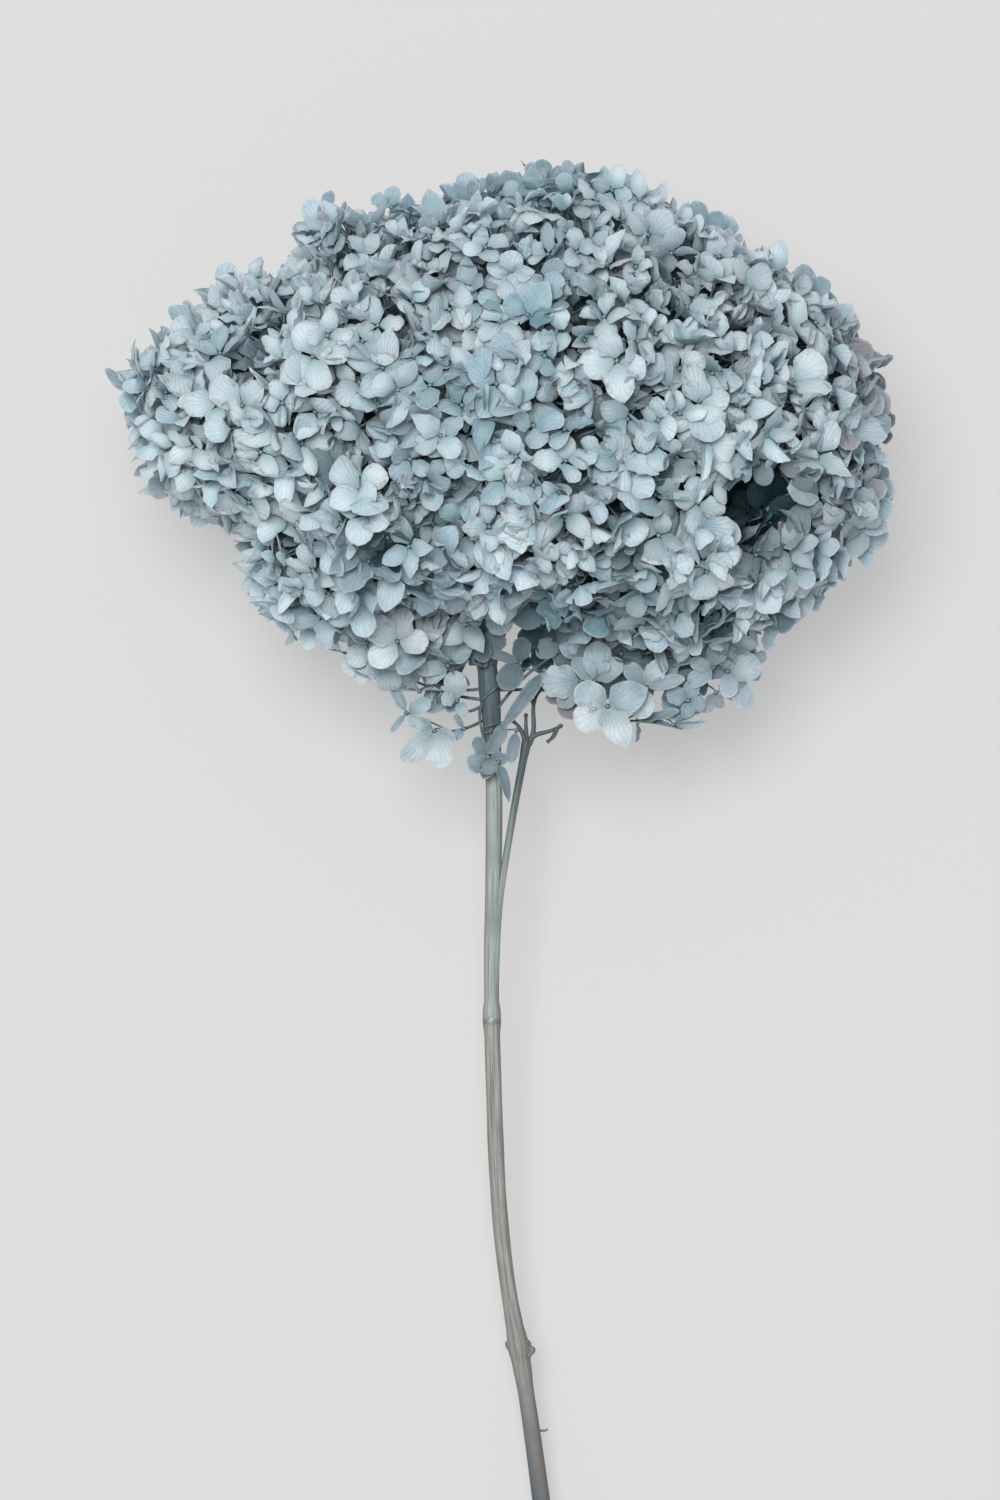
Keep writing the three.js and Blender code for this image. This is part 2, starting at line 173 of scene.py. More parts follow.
@dataclass
class Part:
    """Faces of one kind, with what the materials read from them.

    Attributes:
        places: Plant points, one row each.
        corners: The point of each face corner, face after face.
        counts: How many corners each face has.
        grain: Three numbers a point. On a tube: cosine and sine round it, and millimetres along it.
            On a sepal: how pale it is, how mauve it is, and its share of painted shade, greater the deeper
            in the plant it lies.
        spot: Three numbers a point. On a sepal: nearness to the rim, which side it is on, and a
            number of its own. On a tube: share of the way along, radius, and a number of its own.
        maps: UV coordinates of each corner, by map name.
    """

    places: np.ndarray
    corners: np.ndarray
    counts: np.ndarray
    grain: np.ndarray
    spot: np.ndarray
    maps: dict[str, np.ndarray] = field(default_factory=dict)


def spline(points: np.ndarray, places: np.ndarray) -> np.ndarray:
    """A natural cubic spline through some points, by the length of the chords between them.

    Args:
        points: The points that it passes, one row each.
        places: Shares of the way along, from 0 to 1.

    Returns:
        Points on the curve: each span is the cubic whose second derivatives solve the usual
        tridiagonal system, with none at the ends.
    """
    points = np.asarray(points, float)
    knots = np.concatenate([[0], np.cumsum(np.linalg.norm(np.diff(points, axis=0), axis=1))])
    spans = np.diff(knots)
    count = len(points)
    system, target = np.eye(count), np.zeros_like(points)
    inner = np.arange(1, count - 1)
    system[inner, inner - 1] = spans[:-1]
    system[inner, inner] = 2 * (spans[:-1] + spans[1:])
    system[inner, inner + 1] = spans[1:]
    slopes = np.diff(points, axis=0) / spans[:, None]
    target[inner] = 6 * np.diff(slopes, axis=0)
    bends = np.linalg.solve(system, target)
    at = np.asarray(places, float) * knots[-1]
    span = np.clip(np.searchsorted(knots, at) - 1, 0, count - 2)
    before, after = (at - knots[span])[:, None], (knots[span + 1] - at)[:, None]
    width = spans[span][:, None]
    cubic = (bends[span] * after**3 + bends[span + 1] * before**3) / (6 * width)
    start = points[span] / width - bends[span] * width / 6
    end = points[span + 1] / width - bends[span + 1] * width / 6
    return cubic + start * after + end * before


def ring_faces(tubes: int, stations: int, sides: int) -> tuple[np.ndarray, np.ndarray]:
    """The corners of all faces of some tubes made of rings, and how many each face has.

    The walls are squares between a ring and the next one, and each end is one face.
    """
    here = np.arange(tubes * stations * sides).reshape(tubes, stations, sides)
    over = np.roll(here, -1, axis=2)
    walls = np.stack([here[:, :-1], here[:, 1:], over[:, 1:], over[:, :-1]], axis=-1).reshape(-1, 4)
    corners = np.concatenate([walls.ravel(), here[:, 0].ravel(), here[:, -1, ::-1].ravel()])
    return corners, np.concatenate([np.full(len(walls), 4), np.full(2 * tubes, sides)])


def sweep(paths: np.ndarray, radii: np.ndarray, sides: int, ribs: tuple[int, float] = (0, 0.0)) -> Part:
    """Closed tubes: a ring carried along each path, square to it, with a flat face at each end.

    A ring point is path + r * (cos a * aside + sin a * front), where r is the radius there, raised
    by ribs that follow the cosine of a multiple of the angle a.

    Args:
        paths: Points of each path, as tubes by stations by 3.
        radii: A radius for each tube and station.
        sides: Points in a ring.
        ribs: How many ribs run along the tube, and how high they are as a share of the radius.

    Returns:
        All the tubes as one part.
    """
    tubes, stations, _ = paths.shape
    tangents = unit(np.gradient(paths, axis=1))
    overall = np.abs(paths[:, -1] - paths[:, 0])
    reference = np.eye(3)[np.argmin(overall, axis=1)][:, None, :]
    aside = unit(np.cross(tangents, reference))
    front = np.cross(aside, tangents)
    angles = np.arange(sides) * 2 * math.pi / sides
    count, height = ribs
    wide = radii[..., None] * (1 + height * np.cos(count * angles))
    ring = np.cos(angles)[:, None] * aside[:, :, None] + np.sin(angles)[:, None] * front[:, :, None]
    places = paths[:, :, None] + wide[..., None] * ring

    steps = np.linalg.norm(np.diff(paths, axis=1), axis=-1)
    along = np.concatenate([np.zeros((tubes, 1)), np.cumsum(steps, axis=1)], axis=1)
    share = along / np.maximum(along[:, -1:], 1e-9)
    shape = (tubes, stations, sides)
    grain = as_rows(shape, np.cos(angles), np.sin(angles), along[..., None])
    spot = as_rows(shape, share[..., None], radii[..., None], own_numbers(tubes)[:, None, None])
    return Part(places.reshape(-1, 3), *ring_faces(*shape), grain, spot)


def twig(points: list[Point] | tuple[Point, ...], radii: Table, stations: int, sides: int = 10) -> Part:
    """One tube along a spline, with its radius read from a table by share of the way along."""
    shares = np.linspace(0, 1, stations)
    return sweep(spline(points, shares)[None], read_table(radii, shares)[None], sides)


class SepalNet:
    """The net that every sepal is made on: a square grid rounded on to a disc, in two sheets.

    A grid point (a, b) goes to p = a * sqrt(1 - b b / 2) along and q = b * sqrt(1 - a a / 2) across.
    The two sheets share the points of the rim, so each sepal is one closed body.
    """

    def __init__(self, lengthwise: int, crosswise: int) -> None:
        """Works out the net.

        Args:
            lengthwise: Squares of the grid along the sepal.
            crosswise: Squares of the grid across it. An even number gives it a midrib and a tip.
        """
        a, b = np.meshgrid(
            np.linspace(-1, 1, lengthwise + 1), np.linspace(-1, 1, crosswise + 1), indexing="ij"
        )
        inside = np.zeros(a.shape, bool)
        inside[1:-1, 1:-1] = True
        top = np.arange(a.size).reshape(a.shape)
        under = top.copy()
        under[inside] = a.size + np.arange(inside.sum())
        along = a * np.sqrt(1 - b * b / 2)
        across = b * np.sqrt(1 - a * a / 2)
        self.along = np.concatenate([along.ravel(), along[inside]])
        self.across = np.concatenate([across.ravel(), across[inside]])
        edge = np.maximum(np.abs(a), np.abs(b))
        self.rim = np.concatenate([edge.ravel(), edge[inside]])
        self.sheet = np.concatenate([inside.ravel().astype(float), -np.ones(inside.sum())])
        squares = [(slice(None, -1), slice(None, -1)), (slice(1, None), slice(None, -1)),
                   (slice(1, None), slice(1, None)), (slice(None, -1), slice(1, None))]
        upper = np.stack([top[s] for s in squares], axis=-1).reshape(-1, 4)
        lower = np.stack([under[s] for s in squares[::-1]], axis=-1).reshape(-1, 4)
        self.faces = np.concatenate([upper, lower])
        self.is_lower = np.repeat([0.0, 1.0], len(upper))

    def repeat(self, count: int) -> tuple[np.ndarray, np.ndarray]:
        """The corners of all faces of some nets, and how many each face has."""
        first = np.arange(count)[:, None, None] * len(self.along)
        return (first + self.faces).ravel(), np.full(count * len(self.faces), 4)


class Batch:
    """Many like things at once. Each field holds one number, or one vector, for every thing."""

    def pick(self, chosen: np.ndarray) -> "Batch":
        """The things that a mask or a list of numbers picks."""
        return type(self)(*[getattr(self, name)[chosen] for name in self.__dataclass_fields__])

    @classmethod
    def join(cls, groups: list["Batch"]) -> "Batch":
        """Several groups as one."""
        names = cls.__dataclass_fields__
        return cls(*[np.concatenate([getattr(group, name) for group in groups]) for name in names])


@dataclass
class Sepals(Batch):
    """Many sepals at once. Lengths are millimetres, angles radians and tints from 0 to 1.

    Attributes:
        base: Where each starts, at the floret's eye.
        reach: The way it grows from the eye, in the floret's plane.
        facing: The way its floret faces.
        length: How long it is.
        half_width: Half its width.
        rise: How steeply it leaves the floret's plane.
        bend: How much it turns up along its length.
        cup: How much each half curls up from the midrib to the margin.
        fold: How steeply the two halves rise from the midrib.
        twist: How much it turns about its length.
        ripple: Height of the waves in its margin, as a share of the half width.
        point: How far its tip is drawn out, as a share of its length.
        pale: How pale it is.
        mauve: How mauve it is.
        depth: Its share of painted shade, greater the deeper in the plant it lies.
    """

    base: np.ndarray
    reach: np.ndarray
    facing: np.ndarray
    length: np.ndarray
    half_width: np.ndarray
    rise: np.ndarray
    bend: np.ndarray
    cup: np.ndarray
    fold: np.ndarray
    twist: np.ndarray
    ripple: np.ndarray
    point: np.ndarray
    pale: np.ndarray
    mauve: np.ndarray
    depth: np.ndarray


@dataclass(frozen=True)
class SepalShape:
    """What all sepals share: a broad ovate blade on a narrow claw, thin as paper."""

    thickness: float = 0.3
    claw: float = 0.24
    claw_reach: float = 0.3
    fullness: float = 0.3
    shoulder: float = 0.16
    slimming: float = 2.2
    crease: float = 0.14
    waves: float = 2.3
    map_margin: float = 0.04

    def outline(self, net: SepalNet, sepals: Sepals) -> tuple[np.ndarray, np.ndarray]:
        """Where each net point lies on the flat blade.

        Along: length * ((p + 1) / 2 + point * p cubed * (1 - |q|) squared), for p over 0.
        Across: half width * q * (1 + p p) ** fullness * claw taper * (1 + s p), where s is the
        shoulder less the slimming times the point, so that a drawn-out tip is on a narrower blade.

        Returns:
            Millimetres along and across, as sepals by net points.
        """
        share = (net.along + 1) / 2
        drawn = np.maximum(net.along, 0) ** 3 * (1 - np.abs(net.across)) ** 2
        along = sepals.length[:, None] * (share + sepals.point[:, None] * drawn)
        taper = self.claw + (1 - self.claw) * ease(share / self.claw_reach)
        shoulder = self.shoulder - self.slimming * sepals.point[:, None]
        full = (1 + net.along**2) ** self.fullness * (1 + shoulder * net.along)
        across = sepals.half_width[:, None] * net.across * taper * full
        return along, across

    def places(self, net: SepalNet, sepals: Sepals) -> np.ndarray:
        """Bends every flat blade into its form.

        The midrib is an arc: its chord is x * sinc(k x / 2) at the angle rise + k x / 2, with
        k = bend / length. Each half is an arc too, whose chord rises at fold + c y / 2, with
        c = cup / half width. The pair (across, up) is turned by the twist, the margin is waved by a
        sine of the way along, and the sheets stand half the thickness from each other.

        Returns:
            Plant points, as sepals by net points by 3.
        """
        along, across = self.outline(net, sepals)
        turning = (sepals.bend / sepals.length)[:, None] * along
        chord = along * np.sinc(turning / 2 / math.pi)
        climb = sepals.rise[:, None] + turning / 2
        tangent = sepals.rise[:, None] + turning

        width = sepals.half_width[:, None]
        aside = np.abs(across)
        curl = sepals.cup[:, None] * aside / width
        soft = aside / np.sqrt(aside**2 + (self.crease * width) ** 2)
        lift = sepals.fold[:, None] * soft + curl / 2
        half_chord = aside * np.sinc(curl / 2 / math.pi)
        out = np.sign(across) * half_chord * np.cos(lift)
        up = half_chord * np.sin(lift)
        share = along / sepals.length[:, None]
        number = np.arange(len(sepals.length))[:, None]
        wave = np.sin(2 * math.pi * self.waves * share + number + np.sign(across))
        up += sepals.ripple[:, None] * width * (aside / width) ** 2 * wave

        slope = sepals.fold[:, None] * soft + curl
        body = self.thickness / 2 * net.sheet
        out -= body * np.sin(slope) * np.sign(across)
        up += body * np.cos(slope)

        turned = sepals.twist[:, None] * share
        out, up = out * np.cos(turned) - up * np.sin(turned), out * np.sin(turned) + up * np.cos(turned)
        sideways = np.cross(sepals.facing, sepals.reach)
        reach, facing = sepals.reach[:, None], sepals.facing[:, None]
        midrib = (chord * np.cos(climb))[..., None] * reach + (chord * np.sin(climb))[..., None] * facing
        normal = np.cos(tangent)[..., None] * facing - np.sin(tangent)[..., None] * reach
        blade = out[..., None] * sideways[:, None] + up[..., None] * normal
        return sepals.base[:, None] + midrib + blade

    def part(self, net: SepalNet, sepals: Sepals) -> Part:
        """The sepals as one part, with a map for veins and one whose islands don't overlap.

        Args:
            net: The net they are made on.
            sepals: Their forms.

        Returns:
            The part. Its petal map holds the share across and the share along, and its bake map
            gives each side of each sepal half a cell of a square board.
        """
        count, points = len(sepals.length), len(net.along)
        grain = np.stack([sepals.pale, sepals.mauve, sepals.depth], axis=-1)
        spot = as_rows((count, points), net.rim, net.sheet, own_numbers(count)[:, None])
        flat = np.stack([net.across, net.along], axis=-1) / 2 + 0.5
        petal = np.broadcast_to(flat[net.faces], (count, *net.faces.shape, 2))
        board = math.ceil(math.sqrt(count))
        cell = np.stack(np.divmod(np.arange(count), board), axis=-1)[:, None, None]
        inset = self.map_margin + petal * (1 - 2 * self.map_margin)
        half = (inset + np.stack([net.is_lower, 0 * net.is_lower], axis=-1)[:, None]) * (0.5, 1)
        return Part(
            self.places(net, sepals).reshape(-1, 3),
            *net.repeat(count),
            np.repeat(grain, points, axis=0),
            spot,
            {"petal": petal.reshape(-1, 2), "OFBake": ((cell + half) / board).reshape(-1, 2)},
        )


class Habit(Enum):
    """How a floret holds its sepals: rise, bend, cup and fold, in degrees, as a middle and a spread."""

    OPEN = ((12, 12), (-14, 26), (-4, 26), (2, 10))
    HALF_OPEN = ((36, 16), (-2, 30), (10, 30), (6, 14))
    CLOSED = ((60, 15), (8, 26), (40, 32), (16, 17))


@dataclass
class Florets(Batch):
    """Many florets at once, each with four sepals round an eye.

    Attributes:
        eyes: Where their eyes are.
        facing: The ways they face.
        size: The length of their sepals in millimetres.
        habits: How each holds its sepals, as the number of a Habit.
        pale: How pale each is, from 0 to 1.
        mauve: How mauve each is, from 0 to 1.
        depth: Each one's share of painted shade, greater the deeper in the plant it lies, from 0 to 1.
        slim: How much narrower than broad the sepals of each are, as a share.
        turns: How far each is turned about the way it faces.
    """

    eyes: np.ndarray
    facing: np.ndarray
    size: np.ndarray
    habits: np.ndarray
    pale: np.ndarray
    mauve: np.ndarray
    depth: np.ndarray
    slim: np.ndarray
    turns: np.ndarray


@dataclass(frozen=True)
class Growth:
    """How florets grow their sepals. Lengths are millimetres and angles radians.

    Attributes:
        start: How far from the eye a sepal starts.
        over: How far it starts in front of the eye, for the upper and the lower pair.
        uneven_turn: The spread of the turn between sepals.
        pinched_share: The share of sepals that are pinched along the midrib.
        pinch: The least and greatest fold that a pinched one gains.
        plain_length: The length of a level sepal, as a share of its floret's size.
        droop: How much longer sepals are that point up or down the plant.
        length_limits: The least and greatest length, as shares.
        width_limits: The least and greatest half width, as shares of the length.
        angle_limits: The least and greatest rise, bend, cup and fold.
        twist: The spread of the twist.
        ripple: The spread of the ripple.
        point: How far the most drawn-out tips reach, and what a slim floret adds.
        point_power: How rare drawn-out tips are.
        pale_noise: The spread of the paleness between a floret's sepals.
        mauve_noise: The same of the mauve.
        fallen: The share of sepals that are missing.
    """

    start: float = 0.6
    over: tuple[float, float] = (0.35, -0.05)
    uneven_turn: float = 0.19
    pinched_share: float = 0.08
    pinch: tuple[float, float] = (0.5, 0.95)
    plain_length: float = 0.94
    droop: float = 0.14
    length_limits: tuple[float, float] = (0.82, 1.12)
    width_limits: tuple[float, float] = (0.41, 0.5)
    angle_limits: Table = ((-0.35, 1.45), (-0.9, 1.1), (-0.8, 1.6), (-0.2, 1.25))
    twist: float = 0.3
    ripple: float = 0.14
    point: float = 0.2
    point_power: float = 1.7
    pale_noise: float = 0.14
    mauve_noise: float = 0.1
    fallen: float = 0.04

    def sepals(self, florets: Florets, rng: np.random.Generator) -> Sepals:
        """Grows the sepals of some florets.

        Four sepals stand a quarter turn apart, in two pairs of which one lies a little over the
        other. Every angle is the habit's middle plus a normal spread.

        Args:
            florets: The florets.
            rng: Where the unevenness comes from.

        Returns:
            The sepals.
        """
        four, total = (len(florets.size), 4), len(florets.size) * 4
        facing = unit(florets.facing)
        first, second = square_to(facing)
        quarter = np.arange(4) * math.pi / 2
        turn = (florets.turns[:, None] + quarter + rng.normal(0, self.uneven_turn, four))[..., None]
        reach = np.cos(turn) * first[:, None] + np.sin(turn) * second[:, None]
        middle, spread = np.radians([habit.value for habit in Habit])[florets.habits].transpose(2, 1, 0)
        angles = [middle[i][:, None] + spread[i][:, None] * rng.normal(0, 1, four) for i in range(4)]
        pinched = rng.random(four) < self.pinched_share
        angles[3] = np.where(pinched, angles[3] + rng.uniform(*self.pinch, four), angles[3])
        rise, bend, cup, fold = (
            np.clip(angle, *limits).ravel() for angle, limits in zip(angles, self.angle_limits)
        )
        upright = self.plain_length + self.droop * np.abs(reach[..., 1])
        length = florets.size[:, None] * upright * rng.uniform(*self.length_limits, four)
        broad = length * rng.uniform(*self.width_limits, four) * (1 - florets.slim[:, None])
        ahead = facing[:, None] * np.tile(self.over, 2)[:, None]
        pale, mauve, depth = (np.repeat(v, 4) for v in (florets.pale, florets.mauve, florets.depth))
        grown = Sepals(
            base=(florets.eyes[:, None] + reach * self.start + ahead).reshape(-1, 3),
            reach=reach.reshape(-1, 3),
            facing=np.repeat(facing, 4, axis=0),
            length=length.ravel(),
            half_width=broad.ravel(),
            rise=rise,
            bend=bend,
            cup=cup,
            fold=fold,
            twist=rng.normal(0, self.twist, total),
            ripple=np.abs(rng.normal(0, self.ripple, total)),
            point=self.point * (rng.random(four) ** self.point_power + florets.slim[:, None]).ravel(),
            pale=np.clip(pale + rng.normal(0, self.pale_noise, total), 0, 1),
            mauve=np.clip(mauve + rng.normal(0, self.mauve_noise, total), 0, 1),
            depth=depth,
        )
        return grown.pick(rng.random(total) >= self.fallen)


def beads(eyes: np.ndarray, facing: np.ndarray, radius: float) -> Part:
    """A small bead at each eye: the closed bud in the middle of the four sepals.

    Its points are eye + r * (p * first + q * second + 0.8 * sheet height * facing), where the
    height of each sheet is the square root of 1 - p p - q q.

    Args:
        eyes: Where the beads are.
        facing: The ways that their florets face, as unit vectors.
        radius: The radius of each.

    Returns:
        The beads as one part.
    """
    net = SepalNet(2, 2)
    first, second = square_to(facing)
    height = np.sqrt(np.maximum(1 - net.along**2 - net.across**2, 0)) * net.sheet * 0.8
    flat = net.along[:, None] * first[:, None] + net.across[:, None] * second[:, None]
    middle = eyes + facing * radius * 0.7
    places = middle[:, None] + radius * (flat + height[:, None] * facing[:, None])
    count, points = len(facing), len(net.along)
    number = np.arange(count)[:, None]
    grain = as_rows((count, points), number * 0.37, number * 0.73, number * 0.11)
    spot = as_rows((count, points), 0, 0, own_numbers(count)[:, None])
    return Part(places.reshape(-1, 3), *net.repeat(count), grain, spot)


def stalks(
    feet: np.ndarray,
    eyes: np.ndarray,
    facing: np.ndarray,
    radii: tuple[float, float],
    stations: int,
    sides: int,
) -> Part:
    """Thin stalks from their feet to their florets.

    Each follows a quadratic curve: (1 - t) squared * foot + 2 t (1 - t) * middle + t squared * eye,
    whose middle lies straight behind the eye at half the distance.

    Args:
        feet: Where they start.
        eyes: Where they end.
        facing: The ways that their florets face.
        radii: Their radius at the foot and at the eye.
        stations: Rings along each.
        sides: Points in a ring.

    Returns:
        The stalks as one part.
    """
    t = np.linspace(0, 1, stations)[None, :, None]
    far = np.linalg.norm(eyes - feet, axis=1, keepdims=True)
    middle = eyes - unit(facing) * far * 0.5
    paths = (1 - t) ** 2 * feet[:, None] + 2 * t * (1 - t) * middle[:, None] + t**2 * eyes[:, None]
    widths = np.linspace(radii[0], radii[1], stations)[None].repeat(len(feet), axis=0)
    return sweep(paths, widths, sides)


def feed(node: bpy.types.Node, inputs: dict | list) -> None:
    """Sets or links a node's inputs.

    Args:
        node: The node.
        inputs: By name, by number or in order, a value, or the output or node that feeds the input.
            A node feeds it from its first output, or a mix of colours from its third.
    """
    for key, value in inputs.items() if isinstance(inputs, dict) else enumerate(inputs):
        if isinstance(value, bpy.types.Node):
            value = value.outputs[2 if value.bl_idname == "ShaderNodeMix" else 0]
        if isinstance(value, bpy.types.NodeSocket):
            node.id_data.links.new(value, node.inputs[key])
        else:
            node.inputs[key].default_value = value


def add_node(tree: bpy.types.NodeTree, kind: str, inputs: dict | list = (), **settings) -> bpy.types.Node:
    """Adds a shader node with its settings and links.

    Args:
        tree: The material's node tree.
        kind: The node's type, without the ShaderNode that all types start with.
        inputs: What feed takes.
        **settings: Properties of the node.

    Returns:
        The node.
    """
    node = tree.nodes.new("ShaderNode" + kind)
    for name, value in settings.items():
        setattr(node, name, value)
    feed(node, inputs)
    return node


def start_material(name: str) -> tuple[bpy.types.Material, bpy.types.NodeTree, bpy.types.Node]:
    """A new material with only its Principled shader and its output."""
    material = bpy.data.materials.new(name)
    material.use_nodes = True
    return material, material.node_tree, material.node_tree.nodes["Principled BSDF"]


@dataclass(frozen=True)
class PreservedSepal:
    """Hydrangea sepals preserved in glycerine and dyed: soft, matt and thin as tissue.

    The cells keep their veins, so the eye sees fine lines fanning from the claw, a paler blade with
    a teal base, a worn pale rim, and a faint glow where light comes through from behind. Painted
    shade darkens each blade towards its margin, where a domed sepal turns from the light. Each colour
    lies over the one before it by a share: the grain's paleness and mauve, the way along the blade
    for the base, the nearness to the rim for the painted margin shade and the wear, and last the
    grain's shade share for a painted shade on sepals that lie deep in the plant, in hollows and among
    the dim florets.
    """

    name: str = "preserved_sepal"
    deep: str = "#648893"
    middle: str = "#A5BCC8"
    pale: str = "#C6D6DF"
    mauve: str = "#A4ABB6"
    dry: str = "#878084"
    base: str = "#76999E"
    shade: str = "#223B42"
    rim: str = "#D0DEE5"
    blotch_mm: float = 7.0
    blotch_share: float = 0.9
    drying: tuple[float, float] = (0.6, 0.95)
    base_reach: float = 0.6
    base_share: float = 0.7
    vein_focus: float = 0.16
    vein_waver: float = 0.35
    vein_turn: float = 16.8
    vein_sharpness: float = 9.0
    vein_share: float = 0.12
    vein_height: float = 0.6
    painted_margin_shade_start: float = 0.4
    painted_margin_shade_share: float = 0.14
    wear_start: float = 0.82
    wear_share: float = 0.4
    wrinkle_mm: float = 1.3
    relief_mm: float = 0.3
    dullness: tuple[float, float] = (0.64, 0.82)
    specular: float = 0.25
    glow: float = 0.55
    glow_mm: float = 1.0

    def material(self) -> bpy.types.Material:
        """Builds the node tree."""
        material, tree, shader = start_material(self.name)
        grain = add_node(tree, "Attribute", attribute_name="grain").outputs["Vector"]
        spot = add_node(tree, "Attribute", attribute_name="spot").outputs["Vector"]
        pale, mauve, depth = add_node(tree, "SeparateXYZ", [grain]).outputs
        rim, _, own = add_node(tree, "SeparateXYZ", [spot]).outputs
        across, along, _ = add_node(tree, "SeparateXYZ", [add_node(tree, "UVMap", uv_map="petal")]).outputs
        place = add_node(tree, "TexCoord").outputs["Object"]
        blotch, wrinkle = (
            add_node(
                tree, "TexNoise",
                {"Vector": place, "Scale": 1 / (size * MM), "Detail": detail, "Roughness": fineness},
            )
            for size, detail, fineness in ((self.blotch_mm, 3.0, 0.6), (self.wrinkle_mm, 2.0, 0.5))
        )
        shift = add_node(
            tree, "Math", [blotch, self.blotch_share, -self.blotch_share / 2], operation="MULTIPLY_ADD"
        )
        tone = add_node(tree, "Math", [shift, pale], operation="ADD", use_clamp=True)
        low = add_node(tree, "MapRange", [tone, 0.0, 0.5])
        high = add_node(tree, "MapRange", [tone, 0.5, 1.0])
        drying = add_node(tree, "MapRange", [mauve, *self.drying])
        near = add_node(tree, "MapRange", [along, 0.0, self.base_reach, self.base_share, 0.0])

        sideways = add_node(tree, "Math", [across, 0.5], operation="SUBTRACT")
        ahead = add_node(tree, "Math", [along, self.vein_focus], operation="ADD")
        fan = add_node(tree, "Math", [sideways, ahead], operation="ARCTAN2")
        waver = add_node(tree, "Math", [blotch, self.vein_waver, fan], operation="MULTIPLY_ADD")
        turned = add_node(tree, "Math", [waver, self.vein_turn], operation="MULTIPLY")
        wave = add_node(tree, "Math", [turned], operation="COSINE")
        ridge = add_node(tree, "Math", [wave], operation="ABSOLUTE")
        vein = add_node(tree, "Math", [ridge, self.vein_sharpness], operation="POWER")
        lines = add_node(tree, "Math", [vein, self.vein_share], operation="MULTIPLY")

        # Painted shade: the blade darkens towards its margin, where a domed sepal turns from the light.
        edge = add_node(
            tree, "MapRange", [rim, self.painted_margin_shade_start, 1.0, 0.0, self.painted_margin_shade_share],
            interpolation_type="SMOOTHSTEP",
        )
        margin = add_node(tree, "MapRange", [rim, self.wear_start, 1.0])
        worn = add_node(tree, "Math", [margin, own], operation="MULTIPLY")
        wear = add_node(tree, "Math", [worn, self.wear_share], operation="MULTIPLY")
        # Painted shade: the last layer darkens sepals by the grain's shade share, for lying deep in the
        # plant and in hollows.
        blade = linear(self.deep)
        for share, colour in (
            (low, self.middle), (high, self.pale), (mauve, self.mauve), (drying, self.dry),
            (near, self.base), (lines, self.deep), (edge, self.deep), (wear, self.rim),
            (depth, self.shade),
        ):
            blade = add_node(tree, "Mix", {0: share, 6: blade, 7: linear(colour)}, data_type="RGBA")

        height = add_node(tree, "Math", [vein, self.vein_height, wrinkle], operation="MULTIPLY_ADD")
        feed(shader, {
            "Base Color": blade,
            "Normal": add_node(
                tree, "Bump", {"Height": height, "Strength": 0.5, "Distance": self.relief_mm * MM}
            ),
            "Roughness": add_node(tree, "MapRange", [wrinkle, 0.3, 0.7, *self.dullness]),
            "Specular IOR Level": self.specular,
            "Subsurface Weight": self.glow,
            "Subsurface Radius": (0.7, 1.0, 1.15),
            "Subsurface Scale": self.glow_mm * MM,
        })
        return material


